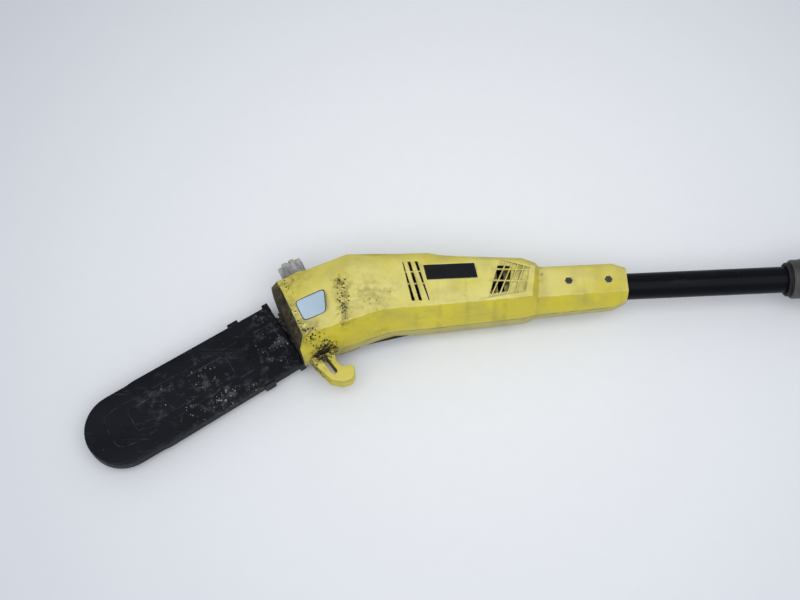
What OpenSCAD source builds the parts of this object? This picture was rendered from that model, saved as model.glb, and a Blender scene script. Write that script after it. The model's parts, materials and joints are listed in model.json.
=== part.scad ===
// Corded telescoping pole saw, lying on its side as it is stored.
// X runs along the pole, from the saw head at -X to the rear handle at +X.
// Z is up; the housing halves part on the level plane through the pole's axis.

/* [Pole] */
// Outer diameter of the upper pole
upper_pole_d = 28; // [26:0.5:29]
// Wall of the upper pole
upper_pole_wall = 1.5; // [1:0.1:2]
// Length of the upper pole
upper_pole_length = 1096; // [1060:1:1140]
// Outer diameter of the lower pole
lower_pole_d = 32.2; // [32:0.1:33]
// Wall of the lower pole
lower_pole_wall = 1.5; // [1.2:0.1:1.6]
// Length of the lower pole
lower_pole_length = 920; // [880:1:960]
// Upper pole left in view when collapsed, from neck to lock
pole_in_view = 168; // [150:1:200]

/* [Head] */
// Wall of the head's two shells
shell_wall = 2.6; // [2:0.1:3]
// Height of the motor housing above its parting plane
head_top = 35; // [34:0.5:38]
// Depth of the motor housing below its parting plane
head_bottom = 35; // [33.5:0.5:36]
// Height of the neck above and below the parting plane
neck_height = 23; // [22:0.5:25]
// Width of the vent slots
vent_slot_w = 2.7; // [2:0.1:3]
// Width of the vent's cross bars
vent_bar_w = 1.4; // [1:0.1:2]
// Level of the joint between the lower shell and the sprocket cover
cover_joint_z = -14; // [-15:0.5:-13.5]
// Level of the sprocket cover's outer face
cover_face_z = -38; // [-40:0.5:-37.5]
// Wall of the sprocket cover
cover_wall = 2.5; // [2:0.1:3]

/* [Cutting gear] */
// Where the spindle stands along the pole's axis
spindle_x = -311.5; // [-314:0.5:-310]
// Angle of the guide bar to the pole
bar_angle = 30; // [26:0.5:32]
// Level of the guide bar's middle plane
bar_z = -20; // [-20.5:0.1:-19.5]
// Thickness of the guide bar
bar_thick = 4; // [3:0.1:4.2]
// Drive links in the saw chain
drive_links = 33; // [31:1:33]
// Chain pitch, half the span of three rivets
chain_pitch = 9.525; // [9.2:0.005:9.525]
// Teeth on the sprocket
sprocket_teeth = 6; // [6:1:6]
// Radius of the guide bar at its nose
bar_nose_r = 15.5; // [14:0.1:16]
// Radius of the bar stud
stud_r = 4; // [3:0.1:4.5]
// Travel of the chain tensioner
tension_travel = 3; // [2:0.1:3.2]

/* [Motor and gears] */
// Module of the gear teeth
gear_module = 1.25; // [1.2:0.01:1.3]
// Teeth on the motor pinion
pinion_teeth = 10; // [9:1:10]
// Teeth on the face gear
gear_teeth = 30; // [28:1:30]
// Radius of the motor's stator
stator_r = 27; // [25:0.5:27.5]
// Length of the motor's stator
stator_length = 40; // [36:1:42]
// Radius of the armature
armature_r = 16; // [14:0.5:16.5]
// Radius of the motor shaft
motor_shaft_r = 4; // [3.5:0.1:4.2]
// Radius of the spindle
spindle_r = 5; // [4:0.1:5.2]
// Outer radius of the motor bearings
motor_bearing_r = 9.5; // [9:0.1:9.8]
// Outer radius of the spindle's lower bearing
spindle_bearing_r = 13; // [12:0.1:13.5]
// Radius of the cooling fan
fan_r = 24; // [20:0.5:25]

/* [Oil] */
// Radius of the oil cap
oil_cap_r = 14; // [13:0.1:14.5]
// Height of the oil cap
oil_cap_h = 17; // [15:0.5:18]
// Lobes round the oil cap
oil_cap_lobes = 8; // [6:1:12]
// Outer radius of the filler neck
filler_r = 9; // [8:0.1:9.5]
// Wall of the oil tank
tank_wall = 1.6; // [1.2:0.1:2]

/* [Scabbard] */
// Half width of the scabbard at its mouth
scabbard_half_w = 37.8; // [37:0.1:39]
// Half width of the scabbard at its tip
scabbard_tip_r = 38.8; // [38:0.1:40]
// Distance of the scabbard's mouth from the spindle
scabbard_mouth = 60.5; // [60:0.5:64]
// Distance of the scabbard's tip centre from the spindle
scabbard_tip_u = 254.7; // [254:0.1:262]
// Thickness of the scabbard
scabbard_thick = 18; // [17:0.5:19]
// Wall of the scabbard
scabbard_wall = 2.2; // [1.8:0.1:2.4]

/* [Pole lock and grip] */
// Outer radius of the twist-lock nut
lock_nut_r = 22; // [21.5:0.5:24]
// Length of the twist-lock nut
lock_nut_length = 52; // [48:1:56]
// Wall of the lock's threaded base
lock_base_wall = 2.4; // [2:0.1:2.6]
// Outer radius of the foam grip
foam_r = 21.5; // [20:0.5:23]
// Length of the foam grip
foam_length = 190; // [150:5:220]
// Distance of the foam grip from the lock
foam_start = 430; // [400:5:460]
// Width of the strap clamp
clamp_w = 20; // [16:1:24]
// Middle radius of the strap ring
strap_ring_r = 12; // [11:0.5:14]
// Radius of the strap ring's wire
strap_wire_r = 1.9; // [1.6:0.1:2]

/* [Rear handle] */
// Half width of the rear handle
handle_half_w = 20; // [19.5:0.5:23]
// Wall of the rear handle
handle_wall = 2.5; // [2:0.1:3]
// Half width of the trigger
trigger_half_w = 6; // [5:0.5:7]
// Travel of the lock-off button
button_travel = 4; // [3:0.5:4.5]
// Radius of the lock-off button
button_r = 6; // [5:0.5:6.5]

/* [Fits] */
// Radial clearance of a running fit
running_fit = 0.06; // [0.03:0.01:0.1]
// Gap between parts that move past each other
moving_gap = 0.3; // [0.25:0.05:0.4]
// Radius of the housing screws
screw_r = 2; // [1.5:0.1:2.2]

/* [Hidden] */
$fn = 64;
big = 400;

// Cross-sections of the head, front to neck: near point, far point, height above and depth
// below the parting plane, near and far insets of the top face, drop of its far edge
stations = [
    [[-344, -70], [-377, 12], 0.57 * head_top, 0.86 * head_bottom, 8, 10, 4],
    [[-337.5, -67], [-370.5, 14.5], head_top - 2, head_bottom, 15, 20, 7],
    [[-307.6, -57], [-346, 23.5], head_top, head_bottom, 14, 22, 7],
    [[-287.3, -50.5], [-296.5, 42], head_top, head_bottom, 14, 25, 7],
    [[-262.7, -43], [-268, 41.2], head_top, head_bottom, 13.5, 22, 6.5],
    [[-250, -39.7], [-240.6, 40], head_top, head_bottom, 12, 12, 5],
    [[-217.6, -38.6], [-211.5, 39.2], head_top, head_bottom, 11.7, 11, 5],
    [[-196, -37.3], [-197, 35.9], head_top, head_bottom, 11.5, 11, 5],
    [[-181, -36.1], [-177.8, 33.8], head_top, head_bottom, 11, 11, 5],
    [[-118.9, -31.5], [-113, 28.2], head_top, head_bottom, 9.5, 10, 5],
    [[-108, -30], [-99, 22.5], head_top - 1, head_bottom - 1, 9.5, 10, 5],
    [[-101, -28.3], [-94, 21.4], neck_height + 1, neck_height + 1, 10.5, 10, 4],
    [[-92, -27.8], [-88, 21.4], neck_height, neck_height, 10.5, 10, 4],
    [[-17, -23.2], [-16.5, 22.3], neck_height - 2, neck_height - 2, 9, 9, 4],
    [[-3, -17], [-3, 16.6], neck_height - 5.5, neck_height - 5.5, 5, 5, 2]];
front_wall = 50.5;                        // front of the head, from the spindle along the bar
floor_top = cover_joint_z + shell_wall;   // floor of the head above the sprocket
pad_z = bar_z + bar_thick / 2;            // face that the guide bar lies on
cover_end_x = -230;
motor_x = -185;
stator_front = motor_x - stator_length / 2;
stator_back = motor_x + stator_length / 2;
coil_overhang = 8.5;
fan_back = stator_front - coil_overhang - 2.5;
fan_front = fan_back - 9;
nose_end = spindle_x + 49;
bearing_w = 7;
rear_bearing_x = stator_back + 31;
commutator_x = stator_back + 11;
commutator_length = 13;
commutator_r = 9;
brush_x = commutator_x + 6.5;
pole_r = upper_pole_d / 2;
pole_bore_r = pole_r - upper_pole_wall;
pole_start = -96;
pole_end = pole_start + upper_pole_length;
neck_screw_x = [-65.4, -23.4];
head_screws_at = [[-326, -50], [-279, 31], [-222, -31], [-128, 20], [-128, -23]];

// Gear pair
pinion_r = gear_module * pinion_teeth / 2;
gear_r = gear_module * gear_teeth / 2;
gear_face = 2;                            // half the width of the teeth
gear_tooth_tip = pinion_r - 0.75 * gear_module;
gear_tooth_root = pinion_r + 1.2 * gear_module;
gear_disc_h = 3.6;
pinion_x = spindle_x + gear_r - gear_face - 0.6;
pinion_tip_r = pinion_r + 0.85 * gear_module;
gear_case_r = 29;
gear_case_wall = 3.2;
gear_case_top = gear_tooth_root + gear_disc_h + 0.8;
lower_bearing_z = floor_top + 3;

// Chain
sprocket_r = chain_pitch / (2 * sin(90 / sprocket_teeth));
chain_rise = 4;                           // height of the rivets over the bar's rail
nose_path_r = bar_nose_r + chain_rise;
chain_length = 2 * drive_links * chain_pitch;
nose_u = (chain_length - PI * (sprocket_r + nose_path_r)) / 2;
path_tilt = asin((nose_path_r - sprocket_r) / nose_u);
path_run = sqrt(nose_u * nose_u - pow(nose_path_r - sprocket_r, 2));
sprocket_arc = sprocket_r * (180 - 2 * path_tilt) * PI / 180;
nose_arc = nose_path_r * (180 + 2 * path_tilt) * PI / 180;
stud_u = 37;
bar_tail = stud_u - stud_r - tension_travel - 3.6;
pin_r = 2.7;
pin_at = [-43, 12];
tension_screw_y = 16.5;
tension_screw_z = floor_top - 2.2;
chain_top = bar_z + 3.6;                 // clear over the cutters
tension_screw_r = 2;

scabbard_z0 = bar_z - scabbard_thick / 2;
scabbard_z1 = bar_z + scabbard_thick / 2;

// Oil
cap_angle = 113;                          // direction of the filler, from +X
cap_foot = [-349.2, 20.6, 4];
cap_lift = 4;                             // height of the boss that the cap stands on

// Lock, grip and handle
lock_x = pole_in_view;
collet_lip = 5;
nut_x = lock_x + collet_lip;
nut_end = nut_x + lock_nut_length;
lower_pole_x = lock_x + 22;
lower_pole_r = lower_pole_d / 2;
lower_pole_bore_r = lower_pole_r - lower_pole_wall;
lower_pole_end = max(lower_pole_x + lower_pole_length, pole_end + 30);
lock_base_r = lower_pole_r + lock_base_wall;
foam_x = lock_x + foam_start;
clamp_x = foam_x - 45;
clamp_r = lower_pole_r + 4;
ring_y = clamp_r + 6;
handle_x = lower_pole_end - 60;           // front of the rear handle
trigger_pivot = [112, 2];                 // from the front of the handle
button_at = [122, 18];
lead_r = 8;

// Row frame: the origin is under the middle of the part, at the level it lies on
scabbard_tip = [spindle_x - scabbard_tip_u * cos(bar_angle), -scabbard_tip_u * sin(bar_angle)];
handle_length = 268;
low_x = scabbard_tip.x - scabbard_tip_r;
high_x = handle_x + handle_length;
low_y = scabbard_tip.y - scabbard_tip_r;
// Outermost lobe of the oil cap
cap_lobe_r = 3.3;
high_y = cap_foot.y + (cap_lift + oil_cap_h) * sin(cap_angle)
    - ((oil_cap_r - cap_lobe_r - 0.1) * cos(10) + cap_lobe_r) * cos(cap_angle);
middle = [(low_x + high_x) / 2, (low_y + high_y) / 2, cover_face_z];

// ---------------------------------------------------------------- shared shapes

module place() { translate(-middle) children(); }

// The guide bar's frame: the spindle stands at its origin and the bar points to -X
module bar_frame() { translate([spindle_x, 0, 0]) rotate([0, 0, bar_angle]) children(); }

module cap_frame() {
    translate(cap_foot) rotate([0, 0, cap_angle - 90]) rotate([-90, 0, 0]) children();
}

module handle_frame() { translate([handle_x, 0, 0]) children(); }

module along_x(x0, x1, r) { translate([x0, 0, 0]) rotate([0, 90, 0]) cylinder(r = r, h = x1 - x0); }

module between(z0, z1, r) { translate([0, 0, z0]) cylinder(r = r, h = z1 - z0); }

module box(lo, hi) { translate(lo) cube(hi - lo); }

module ring_x(x0, x1, r_out, r_in) {
    difference() {
        along_x(x0, x1, r_out);
        along_x(x0 - 1, x1 + 1, r_in);
    }
}

module ring_z(z0, z1, r_out, r_in) {
    difference() {
        between(z0, z1, r_out);
        between(z0 - 1, z1 + 1, r_in);
    }
}

module slab(z0, z1, points) { translate([0, 0, z0]) linear_extrude(z1 - z0) polygon(points); }

function unit(v) = v / norm(v);
function inward(a, b) = let (d = unit(b - a)) [-d.y, d.x];

// Outline moved inwards by w, its corners on their bisectors
function inset(p, w) = [for (i = [0:len(p) - 1]) let (
    n1 = inward(p[(i + len(p) - 1) % len(p)], p[i]),
    n2 = inward(p[i], p[(i + 1) % len(p)])) p[i] + w * (n1 + n2) / (1 + n1 * n2)];

// Outline with its corners rounded over the distance d along each edge
function soften(p, d, steps = 4) = [for (i = [0:len(p) - 1]) let (
    a = p[i] + unit(p[(i + len(p) - 1) % len(p)] - p[i]) * d,
    b = p[i] + unit(p[(i + 1) % len(p)] - p[i]) * d)
    for (k = [0:steps]) let (t = k / steps) (1 - t) * (1 - t) * a + 2 * t * (1 - t) * p[i] + t * t * b];

function at_z(p, z) = [for (q = p) [q.x, q.y, z]];

// Smallest double area of a corner that counts as a turn, in mm²
flat_turn = 0.0001;

// Direction that a flat ring faces
function facing(r) = let (n = len(r), v = [for (q = r) 1] * [for (j = [0:n - 1]) cross(r[j], r[(j + 1) % n])])
    v / norm(v);

function turn(a, b, c, up) = cross(b - a, c - a) * up;

// True if no other point of the ring lies in the corner at place i of the list
function is_ear(r, left, i, up) = let (n = len(left), a = left[(i + n - 1) % n], b = left[i], c = left[(i + 1) % n])
    turn(r[a], r[b], r[c], up) > flat_turn && len([for (k = left) if (k != a && k != b && k != c
        && turn(r[a], r[b], r[k], up) > -flat_turn && turn(r[b], r[c], r[k], up) > -flat_turn
        && turn(r[c], r[a], r[k], up) > -flat_turn) k]) == 0;

function first_ear(r, left, up, i = 0) = i >= len(left) ? 0 : is_ear(r, left, i, up) ? i
    : first_ear(r, left, up, i + 1);

function ears(r, left, up) = len(left) < 4 ? [left] : let (n = len(left), i = first_ear(r, left, up))
    concat([[left[(i + n - 1) % n], left[i], left[(i + 1) % n]]],
        ears(r, [for (k = [0:n - 1]) if (k != i) left[k]], up));

// Triangles that fill a flat ring, cut off one corner at a time
function filled(r) = ears(r, [for (j = [0:len(r) - 1]) j], facing(r));

// Solid skinned over rings of equally many points
module loft(rings) {
    n = len(rings[0]);
    m = len(rings);
    sides = [for (i = [0:m - 2]) for (j = [0:n - 1]) let (k = (j + 1) % n)
        each [[i * n + j, (i + 1) * n + j, (i + 1) * n + k], [i * n + j, (i + 1) * n + k, i * n + k]]];
    first = filled(rings[0]);
    last = [for (t = filled(rings[m - 1])) [for (j = [2:-1:0]) (m - 1) * n + t[j]]];
    polyhedron([for (r = rings) each r], concat(first, sides, last), 4);
}

// Outline raised from z0 to z1 with its upper edge rounded over c
module soft_slab(p, z0, z1, c) {
    loft([at_z(p, z0), at_z(p, z1 - c), at_z(inset(p, 0.3 * c), z1 - 0.3 * c), at_z(inset(p, c), z1)]);
}

module screw(r_head, h_head, r, length) {
    difference() {
        union() {
            cylinder(r = r_head, h = h_head);
            translate([0, 0, -length]) cylinder(r = r, h = length + 1);
        }
        translate([0, 0, 0.4 * h_head]) cylinder(r = 0.5 * r_head, h = h_head, $fn = 6);
    }
}

// ---------------------------------------------------------------- head shells

function section(s) = let (l = norm(s[1] - s[0]), t = s[2], b = s[3], cn = s[4], cf = s[5], cb = 0.4 * b) [
    [l, 0], [l - 1.5, 0.7 * t], [l - 0.35 * cf, t - s[6]], [l - cf, t], [cn, t], [0.3 * cn, 0.58 * t],
    [0, 0], [0.5, -0.48 * b], [cb, -b], [l - cb, -b], [l - 0.5, -0.48 * b]];
function placed(s, q) = let (d = unit(s[1] - s[0]))
    [for (p = q) [s[0].x + d.x * p.x, s[0].y + d.y * p.x, p.y]];
function shifted(r, v) = [for (p = r) p + v];

module head_solid() { loft([for (s = stations) placed(s, section(s))]); }

module head_cavity() {
    rings = [for (s = stations) placed(s, inset(section(s), shell_wall))];
    last = len(rings) - 1;
    ahead = shell_wall * [cos(bar_angle - 6), sin(bar_angle - 6), 0];
    loft([for (i = [0:last]) shifted(rings[i], i < 2 ? ahead : [i == last ? -shell_wall : 0, 0, 0])]);
}

cover_outline = [stations[0][0] + [1.5, 1.5], stations[2][0] + [0.5, 1], stations[3][0] + [0.5, 1],
    [cover_end_x, -38.4], [cover_end_x + 3, -22], [cover_end_x - 8, 30], stations[4][1] + [4, -2],
    stations[3][1] + [0, -1], stations[2][1] + [1, -1], stations[0][1] + [2, 0]];

module shell_rib(x0, x1, r) {
    difference() {
        intersection() {
            head_solid();
            box([x0, -big, -big], [x1, big, big]);
        }
        along_x(x0 - 1, x1 + 1, r);
    }
}

// Ribs that carry the motor's nose, the stator, the rear bearing and the pole
module shell_ribs() {
    shell_rib(stator_front + 4, stator_front + 7, stator_r);
    shell_rib(stator_back - 7, stator_back - 4, stator_r);
    shell_rib(rear_bearing_x, rear_bearing_x + bearing_w, motor_bearing_r);
    // Plate that the brush holders stand on
    shell_rib(brush_x + 4, brush_x + 7, commutator_r + 3);
    for (x = [pole_start + 2, -48, -10]) shell_rib(x, x + 3.5, pole_r);
    // Stop behind the end of the pole
    shell_rib(pole_start - 3, pole_start, pole_bore_r);
    // Bosses of the neck screws reach the pole
    intersection() {
        head_solid();
        difference() {
            for (x = neck_screw_x) translate([x, 0, -neck_height]) cylinder(r = 5.5, h = 2 * neck_height);
            along_x(-120, 10, pole_r);
        }
    }
}

// Vent slots: left edge and width, in slot widths, at their far and near ends
vent_slots = [[-238.3, 0.3, -230.6, 1.2], [-233, 1.05, -223.2, 1.15], [-225.6, 1.05, -213.4, 0.4]];
slot_far_y = 24;
slot_near_y = -20.7;
// Grille: a ramp sinks from its left edge to the opening, and a flat recess runs on to the right
grille = [[-146, 25], [-163.4, -22.7], [-113.3, -15.5], [-106.2, 11.6]];
grille_low = [[-137.3, 22], [-151.4, -21], grille[2], grille[3]];
grille_depth = 1.7;
grille_opening = [[-139.3, 15.8], [-149.8, -16], [-130.7, -13.9], [-124.8, 14.6]];

// Bar in the plane, w wide, from a to b
function strip(a, b, w) = let (n = inward(a, b) * w / 2) [a + n, a - n, b - n, b + n];

module vents() {
    difference() {
        for (v = vent_slots) slab(head_top - 8, head_top + 5,
            [[v[0], slot_far_y], [v[2], slot_near_y], [v[2] + v[3] * vent_slot_w, slot_near_y],
                [v[0] + v[1] * vent_slot_w, slot_far_y]]);
        for (y = [12.5, -1.2])
            box([-245, y - vent_bar_w / 2, 0], [-205, y + vent_bar_w / 2, head_top - 0.6]);
    }
    difference() {
        union() {
            slab(head_top - 8, head_top + 5, grille_opening);
            loft([at_z(grille_low, head_top - grille_depth), at_z(grille, head_top),
                at_z(grille, head_top + 5)]);
        }
        grille_bars(vent_bar_w, head_top - 0.4);
    }
}

module grille_bars(w, top) {
    slab(0, top, strip([-160, 12.7], [-98, 8.1], w));
    slab(0, top, strip([-168, 0.5], [-98, -5], w));
    for (i = [0:3]) slab(0, top, strip([-129.6 + 6.6 * i, 20], [-149.6 + 8.6 * i, -21 + 1.2 * i], w));
}

// Window of the oil tank
window = soften([[-341.5, -37], [-319, -28.4], [-320.3, -2.6], [-350.5, -15.5]], 4.5, 3);
badge = [[-216.4, 19], [-213.6, 2.6], [-161.4, 2.6], [-164, 19]];

module cap_boss(r, h) { cap_frame() translate([0, 0, -12]) cylinder(r = r, h = 12 + h); }

// Level that a screw's head bears on
function screw_seat(p) = p.x < cover_end_x ? cover_joint_z + 3 : -18;

module head_screw_bores(r, z0, z1) {
    for (p = head_screws_at) translate([p.x, p.y, z0]) cylinder(r = r, h = z1 - z0);
}

module head_screw_posts() {
    intersection() {
        head_solid();
        head_screw_bores(screw_r + 2.2, -big, big);
    }
}

module head_shell_whole() {
    difference() {
        union() {
            difference() {
                union() {
                    head_solid();
                    intersection() {
                        cap_boss(oil_cap_r + 1.5, cap_lift);
                        box([-400, -big, -head_bottom], [-300, big, head_top - 6]);
                    }
                }
                head_cavity();
            }
            shell_ribs();
            head_screw_posts();
        }
        along_x(-120, 10, pole_r);
        cap_boss(filler_r + moving_gap, cap_lift + 10);
    }
}

module head_shell_upper() {
    color([0.86, 0.83, 0.2]) place() difference() {
        intersection() {
            head_shell_whole();
            box([-big, -big, 0], [big, big, big]);
        }
        slab(head_top - 10, head_top + 5, inset(window, -0.5));
        slab(head_top - 1.2, head_top + 5, inset(badge, -0.3));
        vents();
        head_screw_bores(screw_r, -1, 14);
        for (x = neck_screw_x) translate([x, 0, 0]) {
            cylinder(r = screw_r, h = big);
            translate([0, 0, neck_height - 4]) cylinder(r = 4.2, h = big, $fn = 6);
        }
        // Finger flutes on the far edge of the neck
        for (x = [-84, -72, -60]) translate([x, 24.4, neck_height - 3.5]) sphere(r = 6);
    }
}

module head_shell_lower() {
    color([0.84, 0.81, 0.22]) place() difference() {
        union() {
            intersection() {
                head_shell_whole();
                box([-big, -big, -big], [big, big, 0]);
            }
            // Floor and back wall of the sprocket's compartment
            intersection() {
                head_solid();
                slab(-big, floor_top, inset(cover_outline, -shell_wall));
            }
        }
        slab(-big, cover_joint_z, inset(cover_outline, -moving_gap));
        // Room for the sprocket, the bar pad and the tensioner in the floor
        bar_frame() {
            between(-big, floor_top + 1, 16);
            box([-front_wall + 2, -19.5, -big], [0, 21.5, floor_top + 1]);
            // Mouth for the bar, and the seat of the scabbard's lip
            box([-front_wall - 14, -31, -big], [-front_wall + 8, 31, cover_joint_z + 0.6]);
            box([-front_wall - 40, -big, -big],
                [-scabbard_mouth + 0.6, scabbard_half_w + 3.5, scabbard_z1 + 0.6]);
        }
        head_screw_bores(screw_r, -big, 1);
        for (p = head_screws_at) between_at(p, -big, screw_seat(p), screw_r + 1.6);
        for (x = neck_screw_x) translate([x, 0, -big]) cylinder(r = screw_r, h = big + 1);
    }
}

// Hook that pulls cut branches clear
hook_outline = [[-305, -94], [-295.5, -91], [-291.8, -85], [-292.5, -77.5], [-296, -75.5], [-302, -77],
    [-307, -75.5], [-310.6, -70], [-316, -50], [-336, -50], [-340, -58], [-338, -66], [-332, -75],
    [-317, -91]];
hook_slot_w = 6.6;
hook_slot = concat(arc([-323, -68.5], hook_slot_w / 2, 35, 215, 8),
    arc([-313.5, -82], hook_slot_w / 2, 215, 395, 8));
hook_z0 = cover_joint_z;
hook_z1 = 5;

module branch_hook() {
    color([0.84, 0.8, 0.2]) place() difference() {
        union() {
            soft_slab(soften(hook_outline, 1.6), hook_z0, hook_z1, 1.2);
            // Cast ridges on the flank that meets the branch
            for (i = [0:4]) translate([-337.3 + 4.1 * i, -66.5 - 4.7 * i, hook_z0 + 1])
                cylinder(r = 1.3, h = hook_z1 - hook_z0 - 5);
        }
        slab(hook_z0 - 1, hook_z1 + 1, hook_slot);
        near_wall();
    }
}

// The head's near wall by the hook
module near_wall() {
    slab(hook_z0 - 2, hook_z1 + 2, concat([for (i = [0:3]) stations[i][0]], [[-280, 0], [-350, 0]]));
}

module badge_plate() {
    color([0.06, 0.06, 0.07]) place() slab(head_top - 1.2, head_top + 0.2, badge);
}

// ---------------------------------------------------------------- oil

// Tank: a slab over the gear case and a deeper part along the front
tank_top = head_top - shell_wall - 0.3;
tank_shelf = gear_case_top + 4.6;
tank_slab = [[-45, -30], [-8, -30], [-8, 18], [-22, 30], [-41, 30], [-45, 24]];
tank_front = [[-45, -30], [-33, -30], [-33, 17], [-24, 25], [-22, 30], [-41, 30], [-45, 24]];

module tank_outer(d) {
    bar_frame() {
        slab(tank_shelf + d, tank_top - d, inset(tank_slab, d));
        slab(floor_top + 7 + d, tank_shelf + 2 * d + 1, inset(tank_front, d));
    }
}

module oil_tank() {
    color([0.7, 0.82, 0.88, 0.8]) place() difference() {
        union() {
            intersection() {
                union() {
                    tank_outer(0);
                    cap_frame() translate([0, 0, -10]) cylinder(r = filler_r, h = 10 + cap_lift + 9);
                }
                union() {
                    head_cavity_fit();
                    cap_frame() translate([0, 0, -6]) cylinder(r = filler_r, h = 60);
                }
            }
            // Sight window that fills the opening in the shell
            slab(tank_top - 1, head_top - 0.7, inset(window, moving_gap));
        }
        intersection() {
            tank_outer(tank_wall);
            head_cavity_fit(tank_wall);
        }
        cap_frame() translate([0, 0, -14]) cylinder(r = filler_r - 2, h = 60);
    }
}

// The head's cavity, drawn in by a little more than the shell's wall
module head_cavity_fit(d = 0) {
    w = shell_wall + 0.3 + d;
    rings = [for (i = [0:4]) placed(stations[i], inset(section(stations[i]), w))];
    ahead = w * [cos(bar_angle - 6), sin(bar_angle - 6), 0];
    loft([for (i = [0:4]) shifted(rings[i], i < 2 ? ahead : [0, 0, 0])]);
}

seal_z = cap_lift + 9;

module oil_cap_seal() {
    color([0.1, 0.1, 0.1]) place() cap_frame()
        ring_z(seal_z + 0.1, seal_z + 1.6, filler_r + 0.4, filler_r - 2.4);
}

module oil_cap() {
    skirt = cap_lift + moving_gap;
    top = cap_lift + oil_cap_h;
    color([0.56, 0.55, 0.54]) place() cap_frame() difference() {
        union() {
            between(skirt, skirt + 3.2, oil_cap_r);
            between(skirt + 3, top - 1.5, oil_cap_r - 1.7);
            for (i = [0:oil_cap_lobes - 1]) rotate([0, 0, i * 360 / oil_cap_lobes + 10])
                translate([oil_cap_r - cap_lobe_r - 0.1, 0, skirt + 3])
                    cylinder(r = cap_lobe_r, h = top - skirt - 3);
            between(top - 2, top - 0.8, oil_cap_r - 4);
        }
        between(skirt - 1, seal_z + 1.9, filler_r + 0.5 + moving_gap);
    }
}

// Worm-driven oil pump beside the spindle, and the pipe from the tank
pump_at = [spindle_x + 14, -gear_case_r - 9.5];

module oil_pump() {
    color([0.75, 0.75, 0.72]) place() translate([pump_at.x, pump_at.y, 0]) {
        difference() {
            union() {
                between(floor_top, 7, 6);
                box([-5, -4.5, floor_top], [5, 8, floor_top + 3]);
            }
            between(-4, 8, 2.5);
        }
        between(-3.7, 10, 2.5);
    }
}

pipe_at = [-20, -25];     // where the pipe leaves the tank, in the bar's frame

module oil_pipe() {
    start = [spindle_x + cos(bar_angle) * pipe_at.x - sin(bar_angle) * pipe_at.y,
        sin(bar_angle) * pipe_at.x + cos(bar_angle) * pipe_at.y];
    run = pump_at - start;
    color([0.2, 0.2, 0.2]) place() {
        translate([start.x, start.y, 12.6]) cylinder(r = 2, h = tank_shelf - 12.6);
        translate([start.x, start.y, 12.6]) sphere(r = 2.6);
        translate([start.x, start.y, 12.6]) rotate([0, 90, atan2(run.y, run.x)])
            cylinder(r = 2, h = norm(run));
        translate([pump_at.x, pump_at.y, 12.6]) sphere(r = 2.6);
        between_at(pump_at, 10, 12.6, 2);
    }
}

module between_at(p, z0, z1, r) { translate([p.x, p.y, z0]) cylinder(r = r, h = z1 - z0); }

// ---------------------------------------------------------------- gear case and spindle

nose_r = min(motor_bearing_r + 1.6, -floor_top);
cover_screw_angles = [50, 130, 215, 310];

module gear_case() {
    color([0.6, 0.61, 0.63]) place() difference() {
        union() {
            translate([spindle_x, 0, 0]) between(floor_top, gear_case_top, gear_case_r);
            along_x(spindle_x + 20, nose_end, nose_r);
            box([spindle_x + 20, -nose_r, floor_top], [nose_end, nose_r, 0]);
            // Pad that the guide bar lies on
            bar_frame() box([-front_wall + 3, -14.5, pad_z], [-23.5, 8, floor_top + 5]);
            // Ears that hold the tension screw
            bar_frame() box([-30, 7, chain_top], [-25, 20.5, floor_top + 5]);
        }
        translate([spindle_x, 0, 0]) {
            between(lower_bearing_z + bearing_w, gear_case_top + 1, gear_case_r - gear_case_wall);
            between(lower_bearing_z, gear_case_top, spindle_bearing_r);
            between(-big, lower_bearing_z + 1, spindle_r + 0.8);
            for (a = cover_screw_angles) rotate([0, 0, a])
                between_at([gear_case_r - 1.6, 0], gear_case_top - 6, gear_case_top + 1, 1);
        }
        // Pocket of the pinion, quill and seat of the motor's front bearing
        along_x(pinion_x - 1.4, spindle_x + gear_case_r - 1, pinion_tip_r + 0.6);
        along_x(spindle_x + 18, nose_end + 1, motor_shaft_r + 0.5);
        along_x(nose_end - bearing_w, nose_end + 1, motor_bearing_r);
        bar_frame() {
            between_at([-stud_u, 0], pad_z - 1, floor_top + 2, stud_r);
            translate([-31, tension_screw_y, tension_screw_z]) rotate([0, 90, 0])
                cylinder(r = tension_screw_r + running_fit, h = 8);
        }
    }
}

upper_bearing_r = spindle_bearing_r - 2;

module gear_cover() {
    color([0.58, 0.59, 0.61]) place() translate([spindle_x, 0, 0]) difference() {
        union() {
            between(gear_case_top, gear_case_top + 2.6, gear_case_r);
            between(gear_case_top, tank_shelf - 0.4, upper_bearing_r + 2.5);
        }
        between(gear_case_top - 1, gear_case_top + 1.6, upper_bearing_r);
        between(gear_case_top - 1, gear_case_top + 2, spindle_r - 0.5);
        for (a = cover_screw_angles) rotate([0, 0, a])
            between_at([gear_case_r - 1.6, 0], gear_case_top - 1, gear_case_top + 3, 1);
    }
}

module gear_cover_screws() {
    color([0.5, 0.5, 0.5]) place() translate([spindle_x, 0, gear_case_top + 2.6])
        for (a = cover_screw_angles) rotate([0, 0, a]) translate([gear_case_r - 1.6, 0, 0])
            screw(1.9, 1.6, 1, 7);
}

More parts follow.
